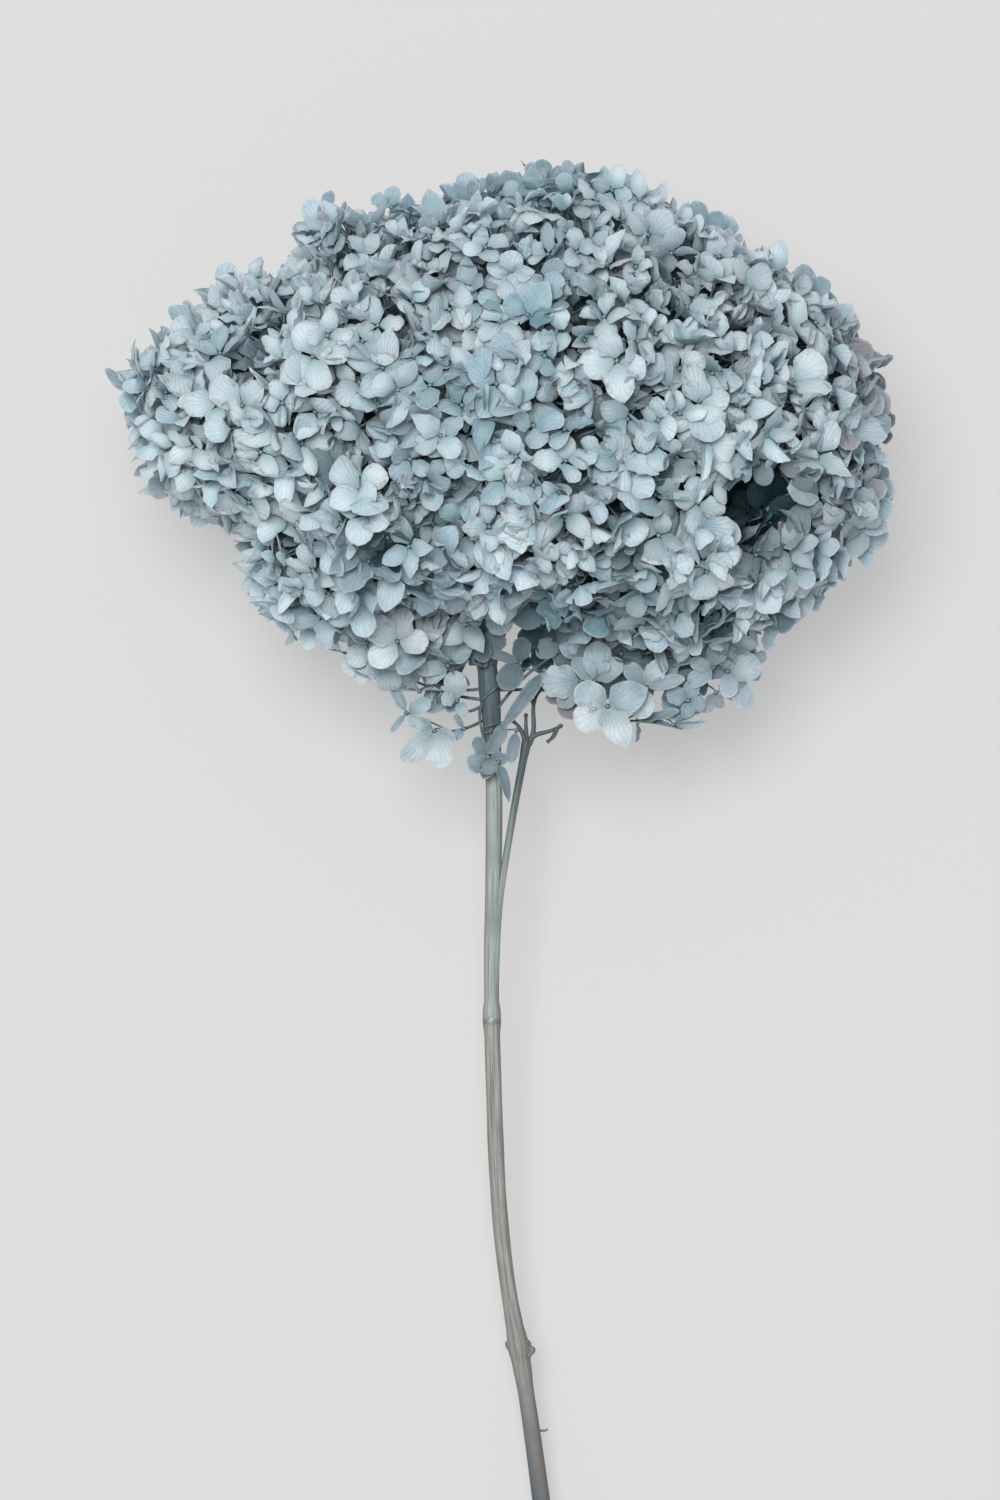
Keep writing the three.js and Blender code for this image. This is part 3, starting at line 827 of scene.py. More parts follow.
@dataclass(frozen=True)
class Bark:
    """Bark of a young hydrangea stem, dyed with the petals: smooth, with fine fibres along it.

    Above the upper node it took up more dye and stays sage green. Below, it has weathered to a grey
    brown with darker patches. The fibres show as streaks, and every node as a dark ring. Both flanks
    of the bar are darkened with painted shade, where the round stem turns from the light.
    """

    name: str = "young_bark"
    upper: tuple[str, str] = ("#A0A9A2", "#69777A")
    lower: tuple[str, str] = ("#9B9B96", "#5F6160")
    slate: tuple[str, str] = ("#55656B", "#343F44")
    ends: tuple[str, str] = ("#545D65", "#6C6560")
    ring: str = "#4E5654"
    painted_flank_shade: float = 0.42
    change_mm: float = 205.0
    fade_mm: float = 3.0
    slate_mm: tuple[float, float] = (288.0, 302.0)
    ragged_mm: float = 24.0
    dark_end_mm: tuple[float, float] = (60.0, 110.0)
    rings: Table = ((203.5, 0.6), (103.0, 0.2))
    ring_mm: float = 1.4
    dullness: tuple[float, float] = (0.52, 0.72)
    specular: float = 0.35
    radius_mm: float = 2.5
    fibre_mm: float = 0.7
    fibre_length_mm: float = 22.0
    patch_mm: float = 16.0
    relief_mm: float = 0.2

    def material(self) -> bpy.types.Material:
        """Builds the node tree."""
        material, tree, shader = start_material(self.name)
        grain = add_node(tree, "Attribute", attribute_name="grain").outputs["Vector"]
        side, _, height = add_node(tree, "SeparateXYZ", [grain]).outputs
        place = add_node(tree, "TexCoord").outputs["Object"]
        girth = self.radius_mm / self.fibre_mm
        stretched = add_node(
            tree, "VectorMath", [grain, (girth, girth, 1 / self.fibre_length_mm)], operation="MULTIPLY"
        )
        fibre = add_node(
            tree, "TexNoise", {"Vector": stretched, "Scale": 1.0, "Detail": 4.0, "Roughness": 0.65}
        )
        patch = add_node(
            tree, "TexNoise", {"Vector": place, "Scale": 1 / (self.patch_mm * MM), "Detail": 3.0}
        )
        lines = add_node(tree, "MapRange", [fibre, 0.42, 0.68])
        patches = add_node(tree, "MapRange", [patch, 0.42, 0.66, 0.0, 0.6])
        marks = add_node(tree, "Math", [lines, patches], operation="MAXIMUM")
        end_side = add_node(tree, "MapRange", [side, -0.6, 0.8])
        above, below, slate, end = (
            add_node(tree, "Mix", {0: share, 6: linear(plain), 7: linear(streak)}, data_type="RGBA")
            for share, (plain, streak) in (
                (marks, self.upper), (marks, self.lower), (marks, self.slate), (end_side, self.ends)
            )
        )

        low_edge, high_edge = self.change_mm - self.fade_mm, self.change_mm + self.fade_mm
        layers = [(add_node(tree, "MapRange", [height, low_edge, high_edge]), above)]
        for ring_height, strength in self.rings:
            away = add_node(tree, "Math", [height, ring_height], operation="SUBTRACT")
            distance = add_node(tree, "Math", [away], operation="ABSOLUTE")
            ring = add_node(tree, "MapRange", [distance, 0.0, self.ring_mm, strength, 0.0])
            layers.append((ring, linear(self.ring)))
        ragged = add_node(tree, "Math", [fibre, self.ragged_mm, height], operation="MULTIPLY_ADD")
        layers.append((add_node(tree, "MapRange", [ragged, *self.slate_mm]), slate))
        layers.append((add_node(tree, "MapRange", [height, *self.dark_end_mm, 1.0, 0.0]), end))
        # Painted shade: the bar darkens towards both flanks, where it turns from the light, in the ring's
        # colour.
        aside = add_node(tree, "Math", [side], operation="ABSOLUTE")
        layers.append((add_node(tree, "MapRange", [aside, 0.6, 1.0, 0.0, self.painted_flank_shade]), linear(self.ring)))
        bark = below
        for share, colour in layers:
            bark = add_node(tree, "Mix", {0: share, 6: bark, 7: colour}, data_type="RGBA")

        feed(shader, {
            "Base Color": bark,
            "Normal": add_node(
                tree, "Bump", {"Height": fibre, "Strength": 0.5, "Distance": self.relief_mm * MM}
            ),
            "Roughness": add_node(tree, "MapRange", [patch, 0.3, 0.7, *self.dullness]),
            "Specular IOR Level": self.specular,
        })
        return material


@dataclass(frozen=True)
class Skin:
    """A plain plant skin in two close colours, mottled and lightly wrinkled.

    It gives the eye the dull, uneven surface of dry twigs, stalks, buds and packed inner stalks.
    """

    name: str
    light: str
    dark: str
    mottle_mm: float = 1.5
    roughness: float = 0.7
    relief_mm: float = 0.15
    specular: float = 0.3

    def material(self) -> bpy.types.Material:
        """Builds the node tree."""
        material, tree, shader = start_material(self.name)
        place = add_node(tree, "TexCoord").outputs["Object"]
        mottle = add_node(
            tree, "TexNoise",
            {"Vector": place, "Scale": 1 / (self.mottle_mm * MM), "Detail": 4.0, "Roughness": 0.6},
        )
        share = add_node(tree, "MapRange", [mottle, 0.35, 0.65])
        dullness = (self.roughness - 0.08, self.roughness + 0.12)
        feed(shader, {
            "Base Color": add_node(
                tree, "Mix", {0: share, 6: linear(self.dark), 7: linear(self.light)}, data_type="RGBA"
            ),
            "Normal": add_node(
                tree, "Bump", {"Height": mottle, "Strength": 0.5, "Distance": self.relief_mm * MM}
            ),
            "Roughness": add_node(tree, "MapRange", [mottle, 0.3, 0.7, *dullness]),
            "Specular IOR Level": self.specular,
        })
        return material


def make_piece(
    name: str,
    parts: list[Part],
    material: bpy.types.Material,
    node: str,
    sharp_rims: bool = False,
) -> None:
    """Joins parts into one smooth-shaded piece that stands for a node of the model.

    Args:
        name: The piece's name.
        parts: What it is made of, all with the same maps.
        material: What it is finished in.
        node: The model's node that it replaces.
        sharp_rims: Whether the shading breaks at the rims of sepals.
    """
    sizes = [len(part.places) for part in parts]
    starts = np.concatenate([[0], np.cumsum(sizes)[:-1]])
    places = LYING.place(np.concatenate([part.places for part in parts]))
    corners = np.concatenate([part.corners + start for part, start in zip(parts, starts)])
    counts = np.concatenate([part.counts for part in parts])
    mesh = bpy.data.meshes.new(name)
    mesh.vertices.add(len(places))
    mesh.vertices.foreach_set("co", places.astype(np.float32).ravel())
    mesh.loops.add(len(corners))
    mesh.loops.foreach_set("vertex_index", corners.astype(np.int32))
    mesh.polygons.add(len(counts))
    loop_starts = np.concatenate([[0], np.cumsum(counts)[:-1]])
    mesh.polygons.foreach_set("loop_start", loop_starts.astype(np.int32))
    mesh.update(calc_edges=True)
    mesh.polygons.foreach_set("use_smooth", np.ones(len(counts), bool))
    for layer in ("grain", "spot"):
        values = np.concatenate([getattr(part, layer) for part in parts]).astype(np.float32)
        mesh.attributes.new(layer, "FLOAT_VECTOR", "POINT").data.foreach_set("vector", values.ravel())
    for layer in parts[0].maps:
        values = np.concatenate([part.maps[layer] for part in parts]).astype(np.float32)
        mesh.uv_layers.new(name=layer).data.foreach_set("uv", values.ravel())
    if sharp_rims:
        on_rim = np.concatenate([part.spot[:, 0] > 0.999 for part in parts])
        edges = np.empty(len(mesh.edges) * 2, np.int32)
        mesh.edges.foreach_get("vertices", edges)
        sharp = on_rim[edges.reshape(-1, 2)].all(axis=1)
        mesh.attributes.new("sharp_edge", "BOOLEAN", "EDGE").data.foreach_set("value", sharp)
    mesh.validate()
    piece = bpy.data.objects.new(name, mesh)
    bpy.context.scene.collection.objects.link(piece)
    mesh.materials.append(material)
    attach(piece, "root")
    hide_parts(node)
    LOG.info("%s: %d triangles", name, int((counts - 2).sum()))


@dataclass(frozen=True)
class HandSepal:
    """One sepal, placed where the photograph shows it.

    Attributes:
        tip: Where it ends.
        width: How wide it is.
        pale: How pale it is, from 0 to 1.
        mauve: How mauve it is, from 0 to 1. The last third turns to a dry brown.
        shade: Its share of painted shade, for lying in the plant's shade, from 0 to 1.
        facing: The way its upper side faces, or None for the way that its floret faces.
        cup: How much each half curls up, in degrees.
        fold: How steeply its halves rise from the midrib, in degrees.
        bend: How much it curves along its length, in degrees.
        point: How far its tip is drawn out, as a share of its length.
    """

    tip: Point
    width: float
    pale: float = 0.5
    mauve: float = 0.2
    shade: float = 0.0
    facing: Point | None = None
    cup: float = 6.0
    fold: float = 4.0
    bend: float = -10.0
    point: float = 0.05


@dataclass(frozen=True)
class HandFloret:
    """One floret, placed where the photograph shows it.

    Attributes:
        eye: Where its eye is.
        joint: Where its stalk leaves a branch.
        facing: The way it faces.
        sepals: Its sepals.
    """

    eye: Point
    joint: Point
    facing: Point
    sepals: tuple[HandSepal, ...]


def floret(eye: Point, joint: Point, facing: Point, *rows: tuple) -> HandFloret:
    """A floret placed as listed.

    Args:
        eye: Where its eye is.
        joint: Where its stalk leaves a branch.
        facing: The way it faces.
        *rows: One for each sepal: the U, V and W of its tip, its width, then as far as needed how
            pale and mauve it is, its share of painted shade and the way it faces. Its other fields stand
            last, by name.

    Returns:
        The floret.
    """
    sepals = []
    for row in rows:
        named = row[-1] if isinstance(row[-1], dict) else {}
        plain = row[:-1] if named else row
        sepals.append(HandSepal(plain[:3], *plain[3:], **named))
    return HandFloret(eye, joint, facing, tuple(sepals))


def gather(placed: tuple[HandFloret, ...]) -> Sepals:
    """All the sepals of some listed florets.

    Each blade leaves the straight line from eye to tip by half its bend, on the side away from its
    facing, so that its tip comes back to the line. Slow sine waves over the sepals' numbers add a
    little to every angle, so that no two are the same.

    Args:
        placed: The florets.

    Returns:
        Their sepals.
    """
    pairs = [(owner, sepal) for owner in placed for sepal in owner.sepals]
    eye = np.array([owner.eye for owner, _ in pairs], float)
    facing = np.array([sepal.facing or owner.facing for owner, sepal in pairs], float)
    span = np.array([sepal.tip for _, sepal in pairs], float) - eye
    width, pale, mauve, shade, point = np.array(
        [(sepal.width, sepal.pale, sepal.mauve, sepal.shade, sepal.point) for _, sepal in pairs], float
    ).T
    bend, cup, fold = np.radians([(sepal.bend, sepal.cup, sepal.fold) for _, sepal in pairs]).T
    reach = unit(span)
    number = np.arange(len(pairs))
    bend = bend + 0.3 * np.cos(number * 2.1)
    start = 0.5
    return Sepals(
        base=eye + reach * start,
        reach=reach,
        facing=unit(facing - (facing * reach).sum(axis=1, keepdims=True) * reach),
        length=np.linalg.norm(span, axis=1) - start,
        half_width=width / 2,
        rise=-bend / 2,
        bend=bend,
        cup=cup + 0.3 * np.sin(number * 1.3),
        fold=fold + 0.16 * np.abs(np.sin(number * 3.1)),
        twist=0.35 * np.sin(number * 2.4),
        ripple=0.17 + 0.1 * np.cos(number * 1.7),
        point=point,
        pale=pale,
        mauve=mauve,
        # Painted shade: the sepal's shade share darkens it towards the shade colour.
        depth=0.7 * shade,
    )


def ends_of(placed: tuple[HandFloret, ...]) -> tuple[np.ndarray, np.ndarray, np.ndarray]:
    """The eyes, the joints and the facings of some listed florets."""
    eyes, joints, facing = np.array([(f.eye, f.joint, f.facing) for f in placed], float).swapaxes(0, 1)
    return eyes, joints, unit(facing)


@dataclass
class HeadForm:
    """The outer surface of the flower head, as a radius in each direction from its middle.

    Attributes:
        middle: Its middle.
        outline: The head's reach in the photograph, by degrees round from U towards V.
        depth: Its reach along W.
        fullness: The power that its section is rounded by.
        swell: The height of a broad swell, and its waves along U and along V.
        cluster_height: How far clusters of florets stand out.
        cluster_width: The distance between clusters.
        patch_height: How far a patch stands out for each unit of its paleness.
        hollows: Wells in the front: U and V of the middle, how far the surface sinks, the distance
            at which that has shrunk to a third, and the distance within which no outer floret grows.
        patches: Patches of the front: U and V of the middle, the distance at which each has faded to
            a third, and how much paler its middle is, less than 0 for a dim patch that lies back.
    """

    middle: Point = (0.0, 384.0, 0.0)
    outline: Table = (
        (0, 115), (12, 114), (24, 103), (36, 92), (46, 86), (60, 83), (80, 78), (98, 73), (108, 71),
        (118, 73), (126, 78), (132, 87), (144, 80), (156, 97), (167, 105), (174, 116), (186, 109),
        (203, 88), (218, 94), (228, 89), (243, 69), (262, 61), (280, 58), (298, 80), (320, 102),
        (334, 112), (345, 120), (360, 115),
    )
    depth: float = 84.0
    fullness: float = 2.3
    swell: tuple[float, float, float] = (4.0, 7.0, 9.0)
    cluster_height: float = 4.5
    cluster_width: float = 48.0
    patch_height: float = 8.0
    hollows: Table = (
        (91, 354.5, 28, 14, 13), (76, 350, 16, 10, 8.5), (49.5, 401.5, 12, 6, 4), (55, 363, 12, 6, 4),
        (38, 337, 16, 9, 7), (-26, 348, 12, 8, 4.5), (-42, 338, 12, 7, 4), (-52, 367, 12, 8, 3.5),
        (4, 325, 14, 8.5, 8),
    )
    patches: Table = (
        (-52, 400, 14, 0.6), (-8, 403, 12, 0.75), (68, 405, 12, 0.75), (97, 388, 12, 0.65),
        (65, 338, 10, 0.8), (7, 347, 18, 0.6), (-1, 335, 9, 0.5), (66, 367, 8, 0.3),
        (-74, 372, 13, 0.35), (32, 398, 10, 0.4), (-22, 428, 15, 0.35), (14, 442, 9, 0.3),
        (72, 426, 9, 0.7), (38, 427, 8, 0.5), (-42, 356, 8, 0.35), (-8, 374, 9, -0.2),
        (-22, 366, 8, -0.2), (-38, 338, 8, -0.5), (51, 351, 9, -0.5), (70, 382, 8, -0.4),
        (27, 414, 11, -0.35), (-79, 399, 8, -0.45), (82, 337, 8, -0.5), (44, 323, 18, -0.4),
        (53, 428, 7, -0.5),
    )

    def plain(self, ways: np.ndarray) -> np.ndarray:
        """The radius in each direction before swell, clusters and hollows.

        (flat ** n + deep ** n) ** (-1 / n), where flat is the share of the outline's reach and deep
        that of the depth.
        """
        angle = np.degrees(np.arctan2(ways[..., 1], ways[..., 0])) % 360
        flat = np.hypot(ways[..., 0], ways[..., 1]) / read_table(self.outline, angle)
        deep = np.abs(ways[..., 2]) / self.depth
        return (flat**self.fullness + deep**self.fullness) ** (-1 / self.fullness)

    def front(self, places: np.ndarray) -> np.ndarray:
        """The direction from the middle to the front surface over each U and V.

        W is depth * (1 - share ** n) ** (1 / n), where share is how far the point is to the outline.
        """
        off = np.asarray(places, float) - np.array(self.middle[:2])
        angle = np.degrees(np.arctan2(off[..., 1], off[..., 0])) % 360
        share = np.minimum(np.linalg.norm(off, axis=-1) / read_table(self.outline, angle), 0.995)
        up = self.depth * (1 - share**self.fullness) ** (1 / self.fullness)
        return unit(np.concatenate([off, up[..., None]], axis=-1))

    def off(self, ways: np.ndarray, spots: Table) -> np.ndarray:
        """How far each direction's point on the plain surface is from each hollow or patch."""
        middles = self.front(np.array([spot[:2] for spot in spots]))
        middles = middles * self.plain(middles)[:, None]
        place = ways * self.plain(ways)[..., None]
        return np.linalg.norm(place[..., None, :] - middles, axis=-1)

    def radius(self, ways: np.ndarray) -> np.ndarray:
        """The radius in each direction: plain, swell, clusters and patches, less each hollow's well."""
        plain = self.plain(ways)
        height, across, along = self.swell
        wave = np.sin(across * ways[..., 0] + 2) * np.cos(along * ways[..., 1] + 1)
        facing = np.abs(ways[..., 2])
        clusters = self.cluster_height * drift(ways * plain[..., None], self.cluster_width, 5)
        grown = plain + facing * (height * wave + clusters) + self.patch_height * self.tone(ways)
        _, _, depth, reach, _ = np.array(self.hollows, float).T
        return grown - (depth * np.exp(-((self.off(ways, self.hollows) / reach) ** 2))).sum(axis=-1)

    def relief(self, ways: np.ndarray) -> np.ndarray:
        """How far the surface stands over the plain one in each direction, less than 0 in a hollow."""
        return self.radius(ways) - self.plain(ways)

    def bare(self, ways: np.ndarray) -> np.ndarray:
        """Whether each direction leads into the mouth of a hollow."""
        mouths = np.array(self.hollows, float)[:, 4]
        return (self.off(ways, self.hollows) < mouths).any(axis=-1)

    def tone(self, ways: np.ndarray) -> np.ndarray:
        """How much paler the florets are in each direction: pale * exp(-(off / reach) ** 2), summed."""
        _, _, reach, pale = np.array(self.patches, float).T
        return (pale * np.exp(-((self.off(ways, self.patches) / reach) ** 2))).sum(axis=-1)

    def points(self, ways: np.ndarray, sunk: np.ndarray | float) -> np.ndarray:
        """Points in some directions, sunk under the surface by some millimetres."""
        return np.array(self.middle) + ways * (self.radius(ways) - sunk)[..., None]

    def facing(self, ways: np.ndarray) -> np.ndarray:
        """The way the surface faces: the cross product of two short steps along it."""
        step = 0.09
        first, second = (
            self.points(unit(ways + step * way), 0) - self.points(unit(ways - step * way), 0)
            for way in square_to(ways)
        )
        return unit(np.cross(first, second))


def rim_tufts() -> tuple[HandFloret, ...]:
    """The florets of the outline's tips and tufts, and those by the stem, darkened as painted shade."""
    edge_on = (0.25, 0.9, 0.3)
    inside = (-60.0, 384.0, 0.0)
    right = (70.0, 380.0, 0.0)
    upper = (0.0, 410.0, 0.0)
    under = (4.0, 334.0, 0.0)
    return (
        floret((-105.5, 390.5, -2), inside, (-0.6, 0.3, 0.8),
            (-118.6, 399.6, -3, 5.8, 0.3, 0.5, 0.25, (0.3, 0.8, 0.6), {"point": 0.0, "cup": -20}),
            (-113, 390.4, 0, 5, 0.5, 0.2, 0.0, (0.3, 0.8, 0.6), {"point": 0.0}),
            (-108.8, 398.6, 4, 6.6, 0.58, 0.5)),
        floret((-90, 391.5, 22), inside, (-0.3, 0.1, 1),
            (-97, 398, 20, 7.6, 0.85), (-83.5, 398, 24, 7.8, 0.8), (-97, 386.6, 20, 7.8, 0.85),
            (-84, 385, 24, 7.4, 0.78)),
        floret((-96.5, 398.4, 3), inside, (-0.4, 0.4, 0.8),
            (-99.8, 405.4, 3, 5.8, 0.42, 0.4), (-91, 404, 5, 6, 0.4, 0.2, 0.1)),
        floret((-88.5, 400.5, 2), inside, (-0.3, 0.5, 0.8),
            (-96.2, 408.4, 1, 6.6, 0.32, 0.2, 0.2), (-86, 409, 4, 6.4, 0.4, 0.2, 0.1)),
        floret((-88.8, 409.2, 4), inside, (-0.3, 0.5, 0.8),
            (-98.8, 417.4, 4, 7, 0.34, 0.2, 0.15), (-89.6, 418, 6, 7.2, 0.42, 0.2)),
        floret((-95, 378, 14), inside, (-0.5, 0, 0.9),
            (-105, 379.6, 13, 8.6, 0.8, 0.1, {"cup": -8}), (-97, 385.4, 15, 7, 0.6),
            (-90, 371, 18, 7.4, 0.7)),
        floret((-97.4, 372, 6), inside, (-0.5, 0.2, 0.8),
            (-106.8, 373.6, 6, 6.4, 0.55, 0.2, 0.0, edge_on), (-106.4, 367.8, 6, 5, 0.48, 0.2, 0.1)),
        floret((-96.8, 366, 4), inside, (-0.5, -0.2, 0.9),
            (-105, 362.4, 5, 7.6, 0.64, 0.62), (-92.6, 356.4, 6, 6.6, 0.6, 0.55)),
        floret((-80, 358, 8), inside, (-0.4, -0.4, 0.8),
            (-87.4, 356.8, 8, 5.6, 0.25, 0.1, 0.5), (-76, 351.4, 9, 5.8, 0.3, 0.1, 0.45)),
        floret((-69.4, 344.2, 8), inside, (-0.3, -0.4, 0.9),
            (-74.6, 338, 8, 7.4, 0.5, 0.65), (-64.6, 337.4, 9, 6, 0.4, 0.3, 0.2)),
        floret((-53.6, 441, 2), upper, (-0.2, 0.2, 1),
            (-57.4, 449.8, 2, 7.6, 0.72), (-50.6, 452.4, 1, 5, 0.25, 0.3, 0.3),
            (-46.6, 446.4, 0, 4.4, 0.2, 0.5, 0.3), (-62, 441.4, 1, 5, 0.3, 0.1, 0.3)),
        floret((-32.6, 447.4, 2), upper, (0, 0.3, 1),
            (-32, 453.8, 1, 5.4, 0.4, 0.3, 0.1), (-38.4, 450.6, 2, 5.2, 0.42, 0.3, 0.1)),
        floret((-9.8, 451.4, 2), upper, (0, 0.3, 1),
            (-10.2, 458, 2, 7, 0.5, 0.2), (-3, 455.4, 1, 5, 0.3, 0.3, 0.2)),
        floret((12.6, 454.6, 1), upper, (0, 0.3, 1),
            (13, 462, 0, 6, 0.2, 0.3, 0.35), (20, 459, 0, 5.6, 0.25, 0.3, 0.3)),
        floret((36, 450.8, 2), upper, (0.1, 0.3, 1),
            (36.6, 458, 1, 7, 0.3, 0.2, 0.1, (0.1, 0.6, 0.8)), (44.2, 453.4, 1, 6, 0.3, 0.2, 0.2)),
        floret((61, 441, 1), upper, (0.2, 0.4, 0.9),
            (58.4, 449.4, 0, 6.4, 0.2, 0.3, 0.35), (67.4, 445, 0, 6.4, 0.22, 0.3, 0.3)),
        floret((92, 421, 2), right, (0.4, 0.4, 0.8),
            (91, 430.4, 1, 6.4, 0.3, 0.4, 0.2), (98.6, 425.4, 1, 6.6, 0.3, 0.4, 0.25)),
        floret((102.8, 407.6, 2), right, (0.4, 0.3, 0.9),
            (102, 414.6, 2, 7.8, 0.3, 0.4, 0.3), (108, 404, 1, 6.2, 0.3, 0.4, 0.3)),
        floret((111.6, 399.4, -4), right, (0.5, 0.2, 0.8),
            (118, 403.4, -4, 4.2, 0.1, 0.85, 0.45, (0.3, 0.8, 0.5)),
            (114.8, 392.6, -4, 4.8, 0.1, 0.85, 0.5)),
        floret((113.4, 384.8, -3), right, (0.6, 0, 0.8),
            (118.6, 383.2, -3, 5.6, 0.1, 0.8, 0.5), (116.2, 377.2, -3, 5.6, 0.1, 0.8, 0.5),
            (113.4, 391, -3, 5.2, 0.1, 0.8, 0.5)),
        floret((110.8, 370, -2), right, (0.6, 0, 0.8),
            (116.4, 366.2, -2, 6, 0.25, 0.4, 0.3), (111.4, 376.6, -1, 5.6, 0.3, 0.4, 0.3)),
        floret((110.4, 358.6, 6), right, (0.5, -0.1, 0.9),
            (104, 359.6, 9, 7, 0.72), (117, 356, 5, 7.4, 0.62), (111.6, 351.6, 6, 6.4, 0.6),
            (112.4, 365, 6, 6, 0.5)),
        floret((106.8, 347.2, 6), right, (0.5, -0.2, 0.9),
            (116, 349.2, 5, 7, 0.58), (110, 340.4, 5, 6, 0.5, 0.3)),
        floret((95.2, 338, 4), right, (0.4, -0.4, 0.8),
            (101.8, 339.2, 4, 5, 0.3, 0.5, 0.35), (94.2, 329.6, 4, 5.4, 0.3, 0.5, 0.35)),
        floret((8, 328.6, 11), under, (0, -0.2, 1),
            (8, 321, 12.5, 9, 0.2, 0.4, 0.4), (15, 327, 10, 7, 0.2, 0.2, 1.1),
            (1, 326, 10, 7, 0.2, 0.2, 1.1)),
        floret((12, 322.4, 2), under, (0.2, -0.2, 1),
            (14.4, 313.4, 1, 7.6, 0.1, 0.3, 1.3), (6.4, 316.4, 2, 7, 0.1, 0.3, 1.3),
            (20, 319.4, 4, 7, 0.1, 0.3, 1.2)),
        floret((9, 315, -4), under, (0.1, -0.3, 1),
            (15.4, 309, -4, 7, 0.1, 0.3, 1.3), (3, 308.6, -4, 7, 0.1, 0.3, 1.3),
            (17, 317, -3, 7, 0.1, 0.3, 1.3)),
        floret((-1, 327.6, 13), under, (0, -0.1, 1),
            (-8.6, 329, 13.5, 7.4, 0.45, 0.2, 0.2), (0.4, 319.4, 14, 8, 0.55, 0.2, 0.1),
            (6.6, 329.6, 13.5, 7.4, 0.4, 0.2, 0.2)),
        floret((-6, 319.4, 7), under, (-0.1, -0.2, 1),
            (-4.4, 311.4, 8, 6.4, 0.1, 0.5, 0.8), (-13, 316.4, 8, 6.4, 0.15, 0.5, 0.7),
            (1.6, 316.6, 8, 6.4, 0.15, 0.5, 0.7)),
        floret((-9.4, 322.6, 2), under, (-0.2, -0.2, 1),
            (-11, 313.6, 3, 6.6, 0.1, 0.1, 0.9), (-16.6, 319, 3, 6.6, 0.1, 0.1, 0.8),
            (-3, 317.6, 4, 6, 0.1, 0.1, 0.9)),
        floret((32, 330, 24), under, (0, -0.3, 1),
            (32.6, 321.8, 24.5, 7.2, 0.62, 0.2), (23, 327.4, 24, 7, 0.6, 0.3),
            (28.6, 337, 24, 7.4, 0.3, 0.3), (39.6, 331, 23.5, 4.6, 0.6, 0.7)),
        floret((47.4, 328.4, 23), right, (0.1, -0.3, 1),
            (43.2, 320, 24, 7.4, 0.82, 0.55), (54.4, 322.8, 22.5, 7.6, 0.62, 0.4)),
    )


@dataclass(frozen=True)
class Layer:
    """One layer of the head's florets.

    Attributes:
        name: What its pieces are called.
        sunk: How far its florets are sunk under the outer ones.
        level: How far under the surface their spacing is measured.
        spacing: The least distance between two of them.
        net: Squares along and across the net of its sepals.
        pieces: How many pieces it is split into.
        open: Whether it leaves the mouths of hollows bare.
    """

    name: str
    sunk: float
    level: float
    spacing: float
    net: tuple[int, int]
    pieces: int
    open: bool


@dataclass(frozen=True)
class Side:
    """A side of the head, and what its florets gain there.

    Attributes:
        name: Which side it is.
        axis: The number of the axis that its share follows: 0 for U, 1 for V.
        slope: How fast the share grows: share = slope * way + offset, held between 0 and 1.
        offset: The share at the middle.
        closing: How much commoner closed florets are.
        shrinking: How much smaller florets are, as a share.
        pale: How much paler they are.
        mauve: How much more mauve they are.
        slimming: How much slimmer their sepals are.
    """

    name: str
    axis: int
    slope: float
    offset: float
    closing: float = 0.0
    shrinking: float = 0.0
    pale: float = 0.0
    mauve: float = 0.0
    slimming: float = 0.0


@dataclass(frozen=True)
class Uneven:
    """A number that varies over the head.

    Attributes:
        middle: Its mean.
        drifting: How much it drifts from there, slowly.
        wavelength: Over what distance, where the head's radius is 100.
        seed: Picks the waves.
        noise: The spread of what each floret adds.
    """

    middle: float
    drifting: float
    wavelength: float
    seed: int
    noise: float

    def read(self, ways: np.ndarray, rng: np.random.Generator) -> np.ndarray:
        """The number in each direction: middle + drifting * drift + a normal draw of the noise."""
        slow = drift(ways * 100, self.wavelength, self.seed)
        return self.middle + self.drifting * slow + rng.normal(0, self.noise, len(ways))


